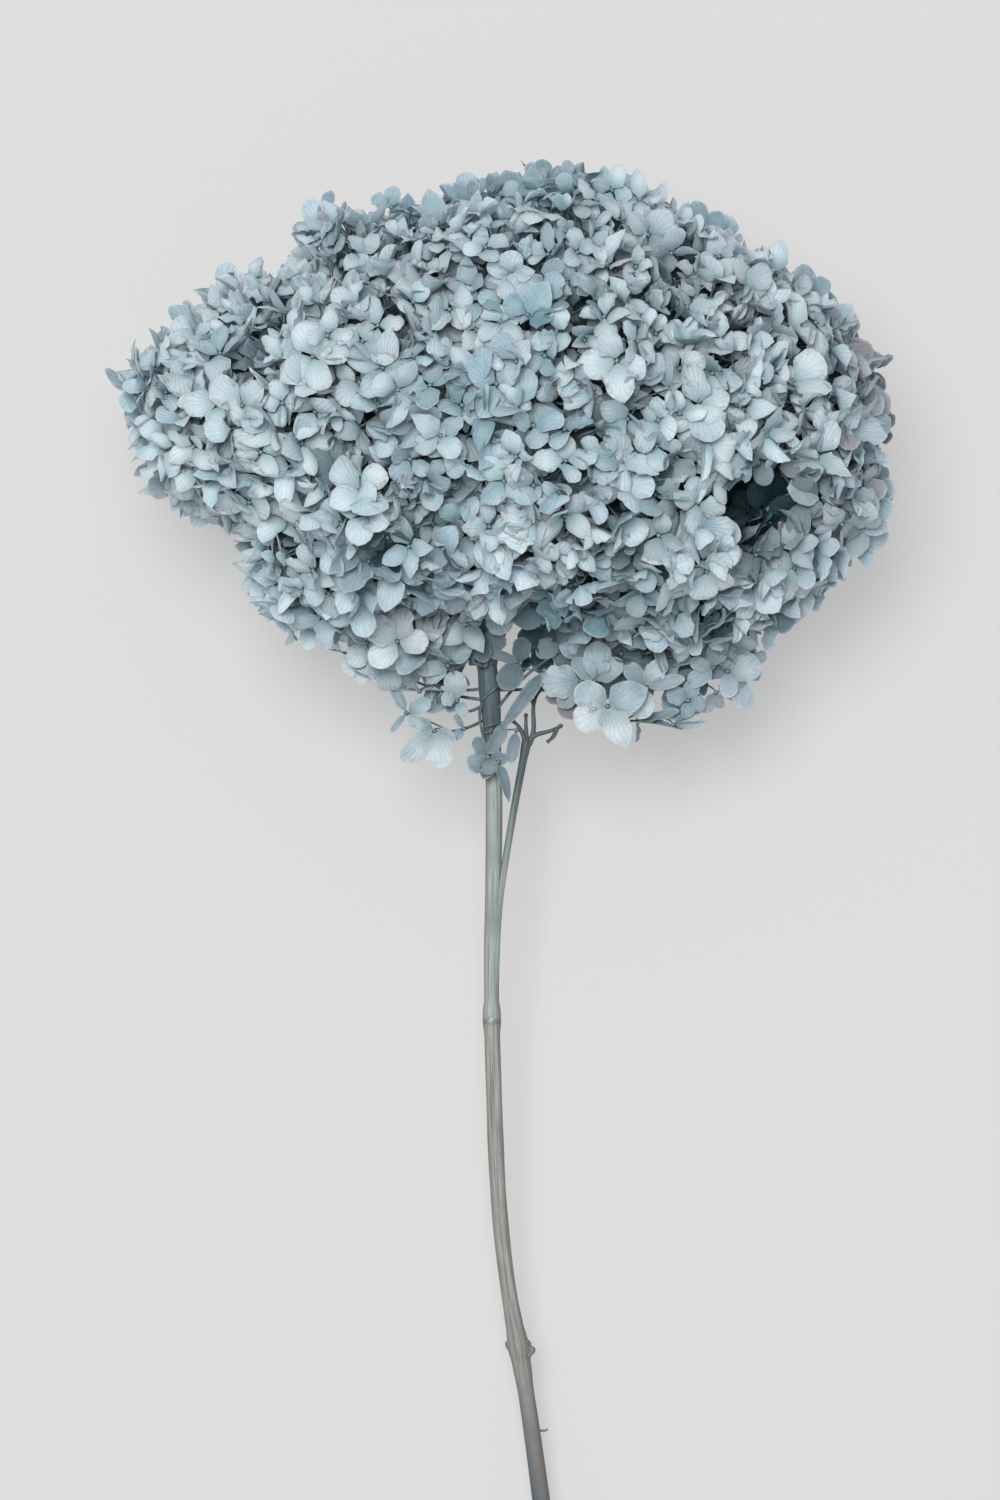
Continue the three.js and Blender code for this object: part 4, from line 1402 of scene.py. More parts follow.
@dataclass
class FlowerHead:
    """The round head: three layers of florets on stalks that gather into clusters, round a dim core."""

    form: HeadForm = field(default_factory=HeadForm)
    layers: tuple[Layer, ...] = (
        Layer("head_sepals", 0.0, 4.0, 7.2, (6, 4), 5, True),
        Layer("head_inner_sepals", 6.5, 11.0, 9.0, (4, 4), 2, True),
        Layer("head_deep_sepals", 14.0, 20.0, 10.0, (4, 2), 1, False),
    )
    sides: tuple[Side, ...] = (
        # Painted light and shade: the left and right sides are painted paler to lift the shade where the
        # head turns side-on to the lamp, and the top rim darker where it turns from the light. The right
        # rim is darker and more mauve.
        Side("left", 0, -1.4, -0.2, closing=0.14, pale=0.44, slimming=0.1),
        Side("crown", 1, 1.4, 0.0, closing=0.14, shrinking=0.26, pale=0.04, mauve=0.26, slimming=0.06),
        Side("right", 0, 1.6, -0.3, pale=0.66),
        Side("right rim", 0, 8.0, -6.88, pale=-0.7, mauve=0.4),
        Side("top rim", 1, 6.0, -4.68, pale=-0.6),
    )
    pale: Uneven = Uneven(0.53, 0.2, 70, 31, 0.14)
    mauve: Uneven = Uneven(0.14, 0.2, 90, 41, 0.08)
    seed: int = 45
    trials: int = 15000
    tuck: float = 4.4
    uneven_tuck: float = 1.6
    patchy: float = 0.26
    patch_wavelength: float = 60.0
    patch_seed: int = 21
    habit_limits: tuple[float, float] = (0.5, 0.94)
    standing: tuple[float, float, float] = (0.2, 0.55, 0.84)
    core_sunk: float = 30.0
    core_net: tuple[int, int] = (48, 72)
    core_pole: float = 0.05
    core_lumps: float = 2.2
    core_lump_width: float = 14.0
    core_radius: float = 60.0
    core_seed: int = 51
    sepal_length: float = 8.8
    size_spread: float = 0.15
    size_limits: tuple[float, float] = (6.0, 10.2)
    slim_spread: float = 0.1
    slim_limit: float = 0.36
    lean: float = 0.44
    # Painted light and shade: raised clusters are made paler and sunk ones dimmer.
    relief_pale: float = 0.025
    painted_relief_limit: float = 6.0
    # Painted shade: the sinking at which a layer takes full shade colour, and how hollows add more.
    full_shade_sunk: float = 28.0
    hollow_start: float = 2.0
    hollow_shade: float = 9.0
    stem_axis_u: float = -4.0
    stem_clearance: float = 13.0
    cluster_count: int = 34
    cluster_sunk: float = 42.0
    stalk_radii: tuple[float, float] = (0.5, 0.34)
    cluster_radii: Table = ((0, 1.5), (1, 0.9))
    ray_count: int = 7
    ray_radii: Table = ((0, 2.0), (1, 1.5))
    ray_spread: tuple[float, float] = (17.0, 13.0)
    ray_heights: tuple[float, float, float] = (303.0, 318.0, 334.0)
    ray_knee: float = 0.35
    branch_sag: float = 4.0

    def spread_ways(self, count: int) -> np.ndarray:
        """Directions spread evenly over a sphere: each turns on by the golden angle."""
        number = np.arange(count)
        up = 1 - (2 * number + 1) / count
        level = np.sqrt(1 - up**2)
        turn = number * GOLDEN_TURN
        return np.stack([level * np.cos(turn), up, level * np.sin(turn)], axis=-1)

    def choose(self, rng: np.random.Generator, layer: Layer) -> np.ndarray:
        """Picks directions whose points keep a spacing and leave room for the stem and hollows.

        Args:
            rng: Shuffles the directions, which are then taken one after another.
            layer: The layer that they are for.

        Returns:
            The directions that were kept.
        """
        ways = self.spread_ways(self.trials)[rng.permutation(self.trials)]
        points = self.form.points(ways, layer.level)
        off_stem = np.hypot(points[:, 0] - self.stem_axis_u, points[:, 2])
        free = (ways[:, 1] > 0) | (off_stem > self.stem_clearance)
        if layer.open:
            free &= ~self.form.bare(ways)
        kept: list[int] = []
        taken = np.full((self.trials, 3), 1e6)
        for number in np.flatnonzero(free):
            near = ((taken[: len(kept)] - points[number]) ** 2).sum(axis=1).min(initial=1e12)
            if near > layer.spacing**2:
                taken[len(kept)] = points[number]
                kept.append(int(number))
        return ways[kept]

    def grow(self, ways: np.ndarray, rng: np.random.Generator, sunk: float) -> Florets:
        """Grows florets in some directions.

        Closed florets stand their sepals outwards, so they are rooted deeper: the eye is sunk by
        the share of the sepal's length that rises. They are commoner on the left, at the crown and
        in patches.

        Args:
            ways: The directions.
            rng: Where the unevenness comes from.
            sunk: How much further the whole layer is sunk.

        Returns:
            The florets.
        """
        count = len(ways)
        held = np.clip([side.slope * ways[:, side.axis] + side.offset for side in self.sides], 0, 1)
        gains = [(s.closing, s.shrinking, s.pale, s.mauve, s.slimming) for s in self.sides]
        closing, shrinking, paler, warmer, slimming = np.array(gains).T @ held
        patch = drift(ways * 100, self.patch_wavelength, self.patch_seed)
        mood = self.patchy * patch + rng.uniform(0, 1, count) + closing
        chosen = np.searchsorted(self.habit_limits, mood, side="right")
        size = self.sepal_length * (1 - shrinking) * rng.normal(1, self.size_spread, count)
        size = np.clip(size, *self.size_limits)
        standing = np.array(self.standing)[chosen] * size
        uneven = rng.uniform(-self.uneven_tuck, self.uneven_tuck, count)
        eyes = self.form.points(ways, sunk + self.tuck + standing + uneven)
        facing = unit(self.form.facing(ways) + rng.normal(0, self.lean, (count, 3)))
        relief, tone = self.form.relief(ways), self.form.tone(ways)
        # Painted light and shade: florets on raised clusters are paler and those in valleys dimmer.
        painted_relief_gain = self.relief_pale * np.clip(relief, -self.painted_relief_limit, self.painted_relief_limit)
        pale = self.pale.read(ways, rng) + paler + painted_relief_gain + tone
        mauve = self.mauve.read(ways, rng) + warmer
        # Painted shade: deeper layers and florets in hollows take more of the shade colour, pale patches
        # less and dim patches more.
        painted_hollow_shade = np.clip(-relief - self.hollow_start, 0, None) / self.hollow_shade
        return Florets(
            eyes=eyes,
            facing=facing,
            size=size,
            habits=chosen,
            pale=np.clip(pale, 0, 1),
            mauve=np.clip(mauve, 0, 1),
            depth=np.clip(sunk / self.full_shade_sunk + painted_hollow_shade - tone, 0, 1),
            slim=np.clip(slimming + rng.normal(0, self.slim_spread, count), 0, self.slim_limit),
            turns=rng.uniform(0, 2 * math.pi, count),
        )

    def core(self) -> Part:
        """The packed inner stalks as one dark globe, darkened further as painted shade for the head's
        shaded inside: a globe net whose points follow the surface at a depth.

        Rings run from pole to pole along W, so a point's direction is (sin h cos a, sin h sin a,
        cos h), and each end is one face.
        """
        rings, sides = self.core_net
        heights = np.linspace(self.core_pole, math.pi - self.core_pole, rings)
        angles = np.arange(sides) * 2 * math.pi / sides
        h, a = np.meshgrid(heights, angles, indexing="ij")
        ways = np.stack([np.sin(h) * np.cos(a), np.sin(h) * np.sin(a), np.cos(h)], axis=-1)
        lumps = self.core_lumps * drift(ways * self.core_radius, self.core_lump_width, self.core_seed)
        flat = self.form.points(ways, self.core_sunk - lumps).reshape(-1, 3)
        return Part(flat, *ring_faces(1, rings, sides), flat * 0.1, 0 * flat)

    def branches(self) -> tuple[list[Part], np.ndarray]:
        """Rays from the top of the stem, each forking to the clusters nearest to it.

        Returns:
            The branches, and the far end of each cluster's branch.
        """
        ways = self.spread_ways(self.cluster_count)
        ends = self.form.points(ways, self.cluster_sunk)
        turn = np.arange(self.ray_count) * 2 * math.pi / self.ray_count
        aside, ahead = self.ray_spread
        foot, knee, top = (np.array([self.stem_axis_u, height, 0.0]) for height in self.ray_heights)
        forks = top + np.stack([aside * np.cos(turn), 0 * turn, ahead * np.sin(turn)], axis=-1)
        knees = knee + (forks - knee) * self.ray_knee
        parts = [twig([foot, *pair], self.ray_radii, 10) for pair in zip(knees, forks)]
        for end in ends:
            fork = forks[np.argmin(np.linalg.norm(forks - end, axis=1))]
            between = fork + (end - fork) / 2 - (0.0, self.branch_sag, 0.0)
            parts.append(twig([fork, between, end], self.cluster_radii, 10, 8))
        return parts, ends

    def build(self) -> None:
        """Builds every piece of the head and dresses it."""
        rng = np.random.default_rng(self.seed)
        sepal = PreservedSepal().material()
        shape = SepalShape()
        grown = []
        for layer in self.layers:
            florets = self.grow(self.choose(rng, layer), rng, layer.sunk)
            grown.append(florets)
            sepals = Growth().sepals(florets, rng)
            LOG.info("%s: %d florets", layer.name, len(florets.size))
            ways = unit(sepals.base - np.array(self.form.middle))
            share = np.arctan2(ways[:, 2], ways[:, 0]) / (2 * math.pi) + 0.5
            sector = np.minimum((share * layer.pieces).astype(int), layer.pieces - 1)
            net = SepalNet(*layer.net)
            for number in range(layer.pieces):
                part = shape.part(net, sepals.pick(sector == number))
                make_piece(f"{layer.name}_{number + 1}", [part], sepal, "flower_head", True)
        placed = rim_tufts()
        part = shape.part(SepalNet(8, 6), gather(placed))
        make_piece("head_rim_sepals", [part], sepal, "flower_head", True)
        placed_eyes, roots, placed_facing = ends_of(placed)
        limbs, ends = self.branches()
        joined = Florets.join(grown)
        nearest = np.argmin(np.linalg.norm(joined.eyes[:, None] - ends[None], axis=-1), axis=1)
        threads = [
            stalks(ends[nearest], joined.eyes, joined.facing, self.stalk_radii, 5, 3),
            stalks(roots, placed_eyes, placed_facing, self.stalk_radii, 7, 6),
        ]
        stalk_skin = Skin("stalk_skin", "#66808A", "#3C5058", 2.5).material()
        make_piece("head_stalks", [*limbs, *threads], stalk_skin, "flower_head")
        bud = Skin("eye_bud", "#8C9EA2", "#65787E", 0.8).material()
        eyes = np.concatenate([grown[0].eyes, placed_eyes])
        facing = unit(np.concatenate([grown[0].facing, placed_facing]))
        make_piece("head_eyes", [beads(eyes, facing, 0.75)], bud, "flower_head")
        # The core is darker than the stalks: partly their own colour, partly painted shade of the head's
        # inside.
        packed = Skin("packed_stalks_and_painted_shade", "#587C86", "#2C4A52", 6.0, 0.85, 1.5).material()
        make_piece("head_core", [self.core()], packed, "flower_head")


@dataclass(frozen=True)
class Clump:
    """An egg-shaped room in a spray that its lesser florets fill.

    Attributes:
        middle: Its middle.
        reach: Half its size along U, V and W.
        count: How many florets it holds at most.
        pale: How pale they are, from 0 to 1.
        shade: Their share of painted shade, for lying in the plant's shade, from 0 to 1.
    """

    middle: Point
    reach: Point
    count: int
    pale: float = 0.4
    shade: float = 0.25


@dataclass
class Spray:
    """A low spray: branches from the stem with single florets on thin stalks."""

    name: str
    branches: tuple[tuple[Point, ...], ...]
    florets: tuple[HandFloret, ...]
    clumps: tuple[Clump, ...] = ()
    branch_radii: Table = ((0, 0.5), (1, 0.34))
    stalk_radii: tuple[float, float] = (0.27, 0.23)
    seed: int = 11
    trials: int = 400
    spacing: float = 6.5
    lesser_size: float = 8.0
    size_spread: float = 0.1
    outward: Point = (0.9, 0.6, 0.5)
    onward: Point = (0.0, -0.25, 0.9)
    lean: float = 0.3
    tint_spread: float = 0.12
    shade_spread: float = 0.15
    mauve: float = 0.15
    mauve_limit: float = 0.5
    slim: float = 0.05
    slim_spread: float = 0.1
    slim_limit: float = 0.4

    def lesser(self, rng: np.random.Generator) -> Florets:
        """Fills the clumps with florets that keep a spacing and face outwards and forwards.

        Args:
            rng: Where the places and the unevenness come from.

        Returns:
            The florets.
        """
        groups = []
        for clump in self.clumps:
            tried = unit(rng.normal(size=(self.trials, 3))) * rng.random((self.trials, 1)) ** (1 / 3)
            places = np.array(clump.middle) + tried * np.array(clump.reach)
            kept = [0]
            for number in range(1, self.trials):
                far = np.linalg.norm(places[kept] - places[number], axis=1).min()
                if far > self.spacing and len(kept) < clump.count:
                    kept.append(number)
            count = len(kept)
            facing = tried[kept] * self.outward + self.onward + rng.normal(0, self.lean, (count, 3))
            groups.append(
                Florets(
                    eyes=places[kept],
                    facing=unit(facing),
                    size=self.lesser_size * rng.normal(1, self.size_spread, count),
                    habits=rng.integers(0, len(Habit), count),
                    pale=clump.pale + rng.normal(0, self.tint_spread, count),
                    mauve=np.clip(rng.normal(self.mauve, self.tint_spread, count), 0, self.mauve_limit),
                    depth=np.clip(rng.normal(clump.shade, self.shade_spread, count), 0, 1),
                    slim=np.clip(rng.normal(self.slim, self.slim_spread, count), 0, self.slim_limit),
                    turns=rng.uniform(0, 2 * math.pi, count),
                )
            )
        return Florets.join(groups)

    def build(self, sepal: bpy.types.Material, skin: bpy.types.Material, bud: bpy.types.Material) -> None:
        """Builds the sepals, the stalks and the eyes.

        Args:
            sepal: The sepals' finish.
            skin: The stalks' finish.
            bud: The eyes' finish.
        """
        shape = SepalShape(claw=0.4, claw_reach=0.26)
        part = shape.part(SepalNet(8, 6), gather(self.florets))
        make_piece(f"{self.name}_sepals", [part], sepal, self.name, True)
        eyes, joints, facing = ends_of(self.florets)
        limbs = [twig(points, self.branch_radii, 14, 8) for points in self.branches]
        if self.clumps:
            rng = np.random.default_rng(self.seed)
            lesser = self.lesser(rng)
            part = shape.part(SepalNet(6, 4), Growth().sepals(lesser, rng))
            make_piece(f"{self.name}_lesser_sepals", [part], sepal, self.name, True)
            shares = np.linspace(0.1, 1, 12)
            along = np.concatenate([spline(points, shares) for points in self.branches])
            nearest = np.argmin(np.linalg.norm(lesser.eyes[:, None] - along[None], axis=-1), axis=1)
            eyes = np.concatenate([eyes, lesser.eyes])
            joints = np.concatenate([joints, along[nearest]])
            facing = np.concatenate([facing, lesser.facing])
        threads = stalks(joints, eyes, facing, self.stalk_radii, 7, 6)
        make_piece(f"{self.name}_stalks", [*limbs, threads], skin, self.name)
        make_piece(f"{self.name}_eyes", [beads(eyes, facing, 0.8)], bud, self.name)


def left_spray() -> Spray:
    """The spray to the left of the stem."""
    edge_on = (0.2, 1.0, 0.25)
    branches = (
        ((-4.5, 300, 0), (-14, 301.5, 0), (-24, 305, -1), (-36, 310, -4)),
        ((-4.7, 294, 1), (-10.5, 291.4, 2.5), (-15, 290.6, 4)),
        ((-5, 298.5, 0.5), (-9.5, 296.6, 2), (-13, 297.5, 4)),
        ((-4.8, 303.5, 0), (-11, 303, 1), (-17, 304.5, 3)),
    )
    florets = (
        floret((-39.2, 309.1, 8), (-34, 309.2, -3.4), (-0.2, -0.1, 1),
            (-47, 311, 8.5, 7, 0.95, 0.3), (-42, 304.8, 8, 5.6, 0.88, 0.3), (-32.4, 307.2, 9, 5, 0.8)),
        floret((-40.5, 313.2, 4), (-36, 310, -4), (-0.6, 0.4, 0.8),
            (-51.4, 315.2, 3, 5.2, 0.48, 0.3, 0.35, edge_on),
            (-44.2, 320, 5, 5.5, 0.58, 0.1, 0.1, {"fold": 28}), (-36, 319, 4, 6, 0.53, 0.1, 0.3)),
        floret((-30.3, 317.1, 25), (-26, 305.5, -1.5), (-0.15, 0.1, 1),
            (-39.5, 322.5, 25, 9.4, 0.95, 0.1), (-28.6, 326.8, 24, 9, 0.92, 0.1),
            (-21.4, 316.9, 25, 7.4, 0.95, 0.1), (-38, 310.4, 25, 8.4, 0.95, 0.1),
            (-22, 313.2, 12, 4.8, 0.48, 0.1, 0.5, (0, 1, 0.5))),
        floret((-25, 325.6, 20), (-20, 303.5, -0.5), (0, 0.2, 1),
            (-32, 331.5, 20, 7.2, 0.68),
            (-19.5, 316.8, 21.5, 5.6, 0.78, {"facing": (0.8, 0, 0.6), "bend": 50}),
            (-18, 330, 20, 7, 0.58, 0.1, 0.2)),
        floret((-34.5, 323, 7), (-30, 307.4, -2.6), (-0.4, 0.6, 0.6),
            (-44.6, 322.7, 7, 4.6, 0.6, 0.1, 0.1, edge_on), (-38.5, 327.5, 6, 5.5, 0.53, 0.2, 0.3)),
        floret((-39.8, 330.5, 6), (-36, 310, -4), (-0.3, 0, 1),
            (-39.6, 324.4, 7, 4.4, 0.38, 1.0, 0.1)),
        floret((-15.5, 310.2, 11), (-13, 303.2, 1.5), (-0.1, -0.1, 1),
            (-25, 308.8, 11, 5.2, 0.6, 0.1, 0.1, {"fold": 20}), (-9.3, 318.7, 11, 7.4, 0.54, 0.15),
            (-21.8, 305.4, 10, 4.6, 0.58, 0.1, 0.15), (-18, 317.5, 9, 5.5, 0.58, 0.1, 0.25)),
        floret((-12.8, 299.8, 9), (-12, 297.2, 3.5), (0, -0.2, 1),
            (-13.8, 308.4, 10, 7.4, 0.64, 0.45), (-17.4, 300.8, 9.5, 4.6, 0.63),
            (-10.2, 295, 9, 3.8, 0.58, 0.3, 0.1)),
        floret((-24, 302.7, 8), (-17, 304.5, 3), (0, -0.3, 1),
            (-32, 303, 8, 5, 0.78, {"facing": edge_on}),
            (-17, 302.6, 8.5, 5, 0.8, {"facing": edge_on}),
            (-31.8, 311.2, 8.5, 4.8, 0.63, {"fold": 30})),
        floret((-27.8, 296, 7), (-15, 290.6, 4), (-0.3, 0, 1),
            (-32.6, 304.6, 7, 4.8, 0.53, 0.1, 0.25, {"fold": 35, "bend": 30}),
            (-32.6, 290.4, 7, 2.2, 0.58, 0.2, 0.2, {"fold": 20}), (-21, 299.6, 7, 5, 0.56, 0.1, 0.2)),
        floret((-19.6, 290.9, 9), (-15, 290.6, 4), (0, -0.4, 1),
            (-17, 279.9, 10, 9, 0.95, 0.4, {"cup": -14}),
            (-29, 282, 8.5, 7.8, 0.88, 0.4, {"cup": -10}), (-13.4, 288.4, 9, 4.8, 0.7),
            (-27.2, 295.2, 9, 5.4, 0.56, 0.1, 0.15, {"fold": 18})),
        floret((-10.8, 291.4, 5.5), (-8, 292.4, 1.8), (0, 0, 1),
            (-13.8, 288.3, 6, 3, 0.48, 0.6, 0.2), (-13.6, 295.6, 6, 2.2, 0.53, 0.2, 0.3)),
    )
    clumps = (
        Clump((-31, 315, 11), (13, 6, 6), 13, 0.8, 0.0),
        Clump((-15, 309, 1), (6, 9, 4), 6, 0.4, 0.25),
        Clump((-22, 325, 14), (16, 5, 5), 11, 0.7, 0.05),
    )
    return Spray("left_spray", branches, florets, clumps)


def right_spray() -> Spray:
    """The spray to the right of the stem, with the large open floret."""
    edge_on = (0.0, 1.0, 0.22)
    branches = (
        ((-2, 303, 0), (12, 303, 0), (30, 302, 0), (46, 303, -1), (60, 305.5, -5)),
        ((20, 302.8, 0), (26, 297, 3), (34, 294, 4), (44, 294, 5)),
        ((-1.8, 296, 0.8), (2, 301, 2.2), (7, 306.5, 3), (14, 312, 4), (21, 316, 5)),
        ((46, 303, -1), (56, 313, 0), (70, 321, 2)),
    )
    florets = (
        floret((32, 298, 19), (28, 302, 0), (0, -0.1, 1),
            (22.6, 292.4, 19.5, 9.4, 0.86, 0.1, {"cup": -6, "bend": -14}),
            (37.2, 286.8, 19, 8.8, 0.88, 0.1, {"cup": -6, "bend": -14, "point": 0.14}),
            (42.6, 302.8, 19, 10.4, 0.58, 0.05, 0.05, {"cup": 12, "point": 0.14}),
            (22.6, 303.2, 19.5, 9, 0.6, 0.05, 0.05, {"cup": 10})),
        floret((28, 305.5, 16), (22, 302.7, 0), (0.1, 0, 1),
            (29.4, 317, 16, 8.4, 0.62, 0.1, {"fold": 12}), (36, 311.5, 15.5, 6.5, 0.5, 0.1, 0.1),
            (22, 312, 14, 6, 0.5, 0.1, 0.25)),
        floret((24, 305.6, 13), (18, 302.9, 0), (-0.1, -0.1, 1),
            (12.7, 305.4, 14, 10.4, 0.64, 0.15, {"cup": -10}), (18, 298, 11, 6, 0.4, 0.6, 0.3)),
        floret((27.8, 314.6, 12), (21, 316, 5), (-0.1, 0.1, 1),
            (18, 316.2, 13, 7.2, 0.44, 0.1, 0.12, {"cup": -8}),
            (24, 323.6, 13, 6, 0.42, 0.1, 0.2, {"facing": (0.7, 0.3, 0.6), "bend": 40}),
            (35, 320, 12, 6.5, 0.4, 0.1, 0.25)),
        floret((22.5, 301.2, 8), (16, 303, 0), (0, -0.2, 1),
            (18.8, 294.8, 9, 7.4, 0.2, 1.0, 0.1), (13.8, 300.6, 9, 4.6, 0.2, 1.0, 0.2)),
        floret((43.5, 303.6, 15), (38, 302.4, -0.4), (0.1, -0.1, 1),
            (47.4, 311.6, 15.5, 6.8, 0.68, 0.1, {"fold": 14}),
            (54.6, 306.2, 15, 5, 0.55, 0.1, {"fold": 18}),
            (41.2, 294.6, 15, 7.8, 0.82, 0.1, {"cup": -10}), (37.5, 310.5, 14.5, 5.6, 0.45, 0.1, 0.2)),
        floret((46, 316.6, 15), (50, 306.5, -0.5), (0, 0.2, 1),
            (55.6, 315.6, 16, 4.8, 0.58, 0.1, 0.0, (0, 0.9, 0.6)),
            (36.4, 318.2, 15.5, 5.6, 0.38, 0.1, 0.15),
            (48.8, 308, 15, 4.6, 0.4, 0.1, 0.2, {"fold": 30}), (47, 325.5, 15, 7, 0.42, 0.2, 0.2)),
        floret((56, 299.8, 12), (50, 303.6, -2), (0.1, -0.3, 1),
            (50, 302.4, 12.5, 5.6, 0.38, 0.15, 0.1), (61, 298, 11.5, 4.8, 0.34, 0.2, 0.15),
            (57.4, 305.8, 12, 5.4, 0.42, 0.1, 0.1), (55.6, 294.4, 12, 4.8, 0.38, 0.2, 0.15)),
        floret((41, 293.4, 11), (38, 294, 4.4), (0.1, -0.9, 0.4),
            (55, 290.8, 11, 5.4, 0.3, 0.3, 0.5, edge_on),
            (53, 296.6, 11, 5, 0.4, 0.1, 0.1, (0, 0.9, 0.4)), (40.4, 287.6, 13, 5, 0.36, 0.1, 0.3)),
        floret((51.5, 292.8, 12), (44, 294, 5), (0.2, -0.5, 0.8),
            (61, 293.4, 12, 4, 0.48, 0.3, 0.0, {"fold": 24}),
            (60.4, 297, 11, 4.4, 0.36, 0.2, 0.2, (0, 0.9, 0.5))),
        floret((67.9, 308.5, 9), (60, 305.5, -5), (0.25, -0.1, 1),
            (77.6, 310.6, 8, 8.6, 0.64, 0.4, {"cup": -8}), (68.4, 300.8, 10, 5.8, 0.66, 0.35),
            (74.6, 297.6, 8, 7, 0.5, 0.5, {"cup": -12}), (67.4, 316.2, 9, 6.4, 0.45, 0.2)),
        floret((63.5, 309.5, 12), (58, 314.5, 0), (0.1, 0, 1),
            (56.4, 304.6, 12, 6, 0.54, 0.15), (60, 322.6, 13, 8, 0.36, 0.1, 0.12, {"bend": 30}),
            (65.6, 320, 12, 6.5, 0.4, 0.15, 0.1), (56.6, 311.4, 13.5, 4.4, 0.62, 0.15)),
        floret((64.4, 302.4, 9), (56, 304.8, -4), (0.2, -0.4, 0.9),
            (60.8, 296.4, 9, 4.8, 0.36, 0.65, 0.1), (66, 297.4, 9, 4, 0.34, 0.75, 0.15)),
        floret((70.4, 327.4, 13), (66, 319, 1.5), (0.1, -0.1, 1),
            (71, 319.8, 14, 9, 0.72, 0.2, {"cup": -10}), (63, 329, 14, 7.5, 0.6, 0.2),
            (77, 323, 12.5, 6.5, 0.58, 0.2)),
        floret((81.6, 326.4, 8), (70, 321, 2), (0.4, 0, 0.9),
            (79.2, 315.2, 8, 5.8, 0.52, 0.2, {"bend": 30}), (86.6, 321, 5, 7, 0.3, 0.15, 0.3)),
    )
    clumps = (
        Clump((29, 314, 4), (13, 7, 6), 13, 0.3, 0.5),
        Clump((50, 311, 3), (12, 8, 6), 12, 0.38, 0.3),
        Clump((68, 312, 1), (8, 8, 5), 9, 0.38, 0.3),
        Clump((44, 325, 9), (32, 4, 6), 14, 0.35, 0.35),
    )
    return Spray("right_spray", branches, florets, clumps)


def stem_spray() -> Spray:
    """The small spray in front of the stem, with its slender bract."""
    branches = (
        ((-4, 300, 0), (-6, 297, 4.4), (-5.5, 291, 4.6), (-4.2, 285, 5)),
        ((-5.5, 300, 3.2), (-1, 304, 4), (4, 310, 5)),
    )
    florets = (
        floret((-3.5, 282.9, 7.2), (-4.4, 286, 4.9), (-0.1, -0.3, 1),
            (-7.4, 288.6, 7.5, 4.8, 0.1, 0.35, 0.4, {"fold": 14}),
            (-9.4, 279.6, 7.6, 6.2, 0.15, 0.35, 0.2, {"bend": 40, "cup": -40}),
            (-5, 276.4, 8.4, 5.2, 0.0, 0.35, 0.7, {"fold": 24, "bend": 50}),
            (2.2, 282.4, 7.6, 4.6, 0.15, 0.35, 0.3, {"fold": 10}),
            (-3.6, 277.6, 9.4, 6.4, 0.1, 0.4, 0.35, {"bend": -50, "cup": -30})),
        floret((-0.6, 281.4, 7), (-4.2, 285, 5), (0.2, 0, 1),
            (2.4, 270.8, 7, 3.8, 0.1, 0.35, 0.4, {"fold": 22, "point": 0.16})),
        floret((4.8, 291, 6), (-5.4, 290, 4.7), (0.3, -0.1, 1),
            (3.2, 281.2, 6.6, 4.6, 0.15, 0.6, 0.3, {"fold": 14})),
        floret((2, 293.6, 7.6), (-5.4, 291.6, 4.6), (0.2, 0, 1),
            (-3.6, 284.2, 8, 5, 0.15, 0.3, 0.25, {"fold": 18})),
        floret((13.2, 308.8, 8), (4, 310, 5), (0.2, 0.1, 1),
            (1.2, 292.3, 8, 4.6, 0.12, 0.3, 0.45, {"fold": 28, "point": 0.14})),
        floret((6.2, 311, 7), (4, 310, 5), (-0.1, 0, 1),
            (0.6, 303.6, 8, 7.6, 0.1, 0.35, 0.75), (-6.2, 315.9, 5.5, 4, 0.15, 0.8, 0.4, {"fold": 24}),
            (6.6, 318.4, 7, 6, 0.15, 0.2, 0.75)),
    )
    return Spray("stem_spray", branches, florets)


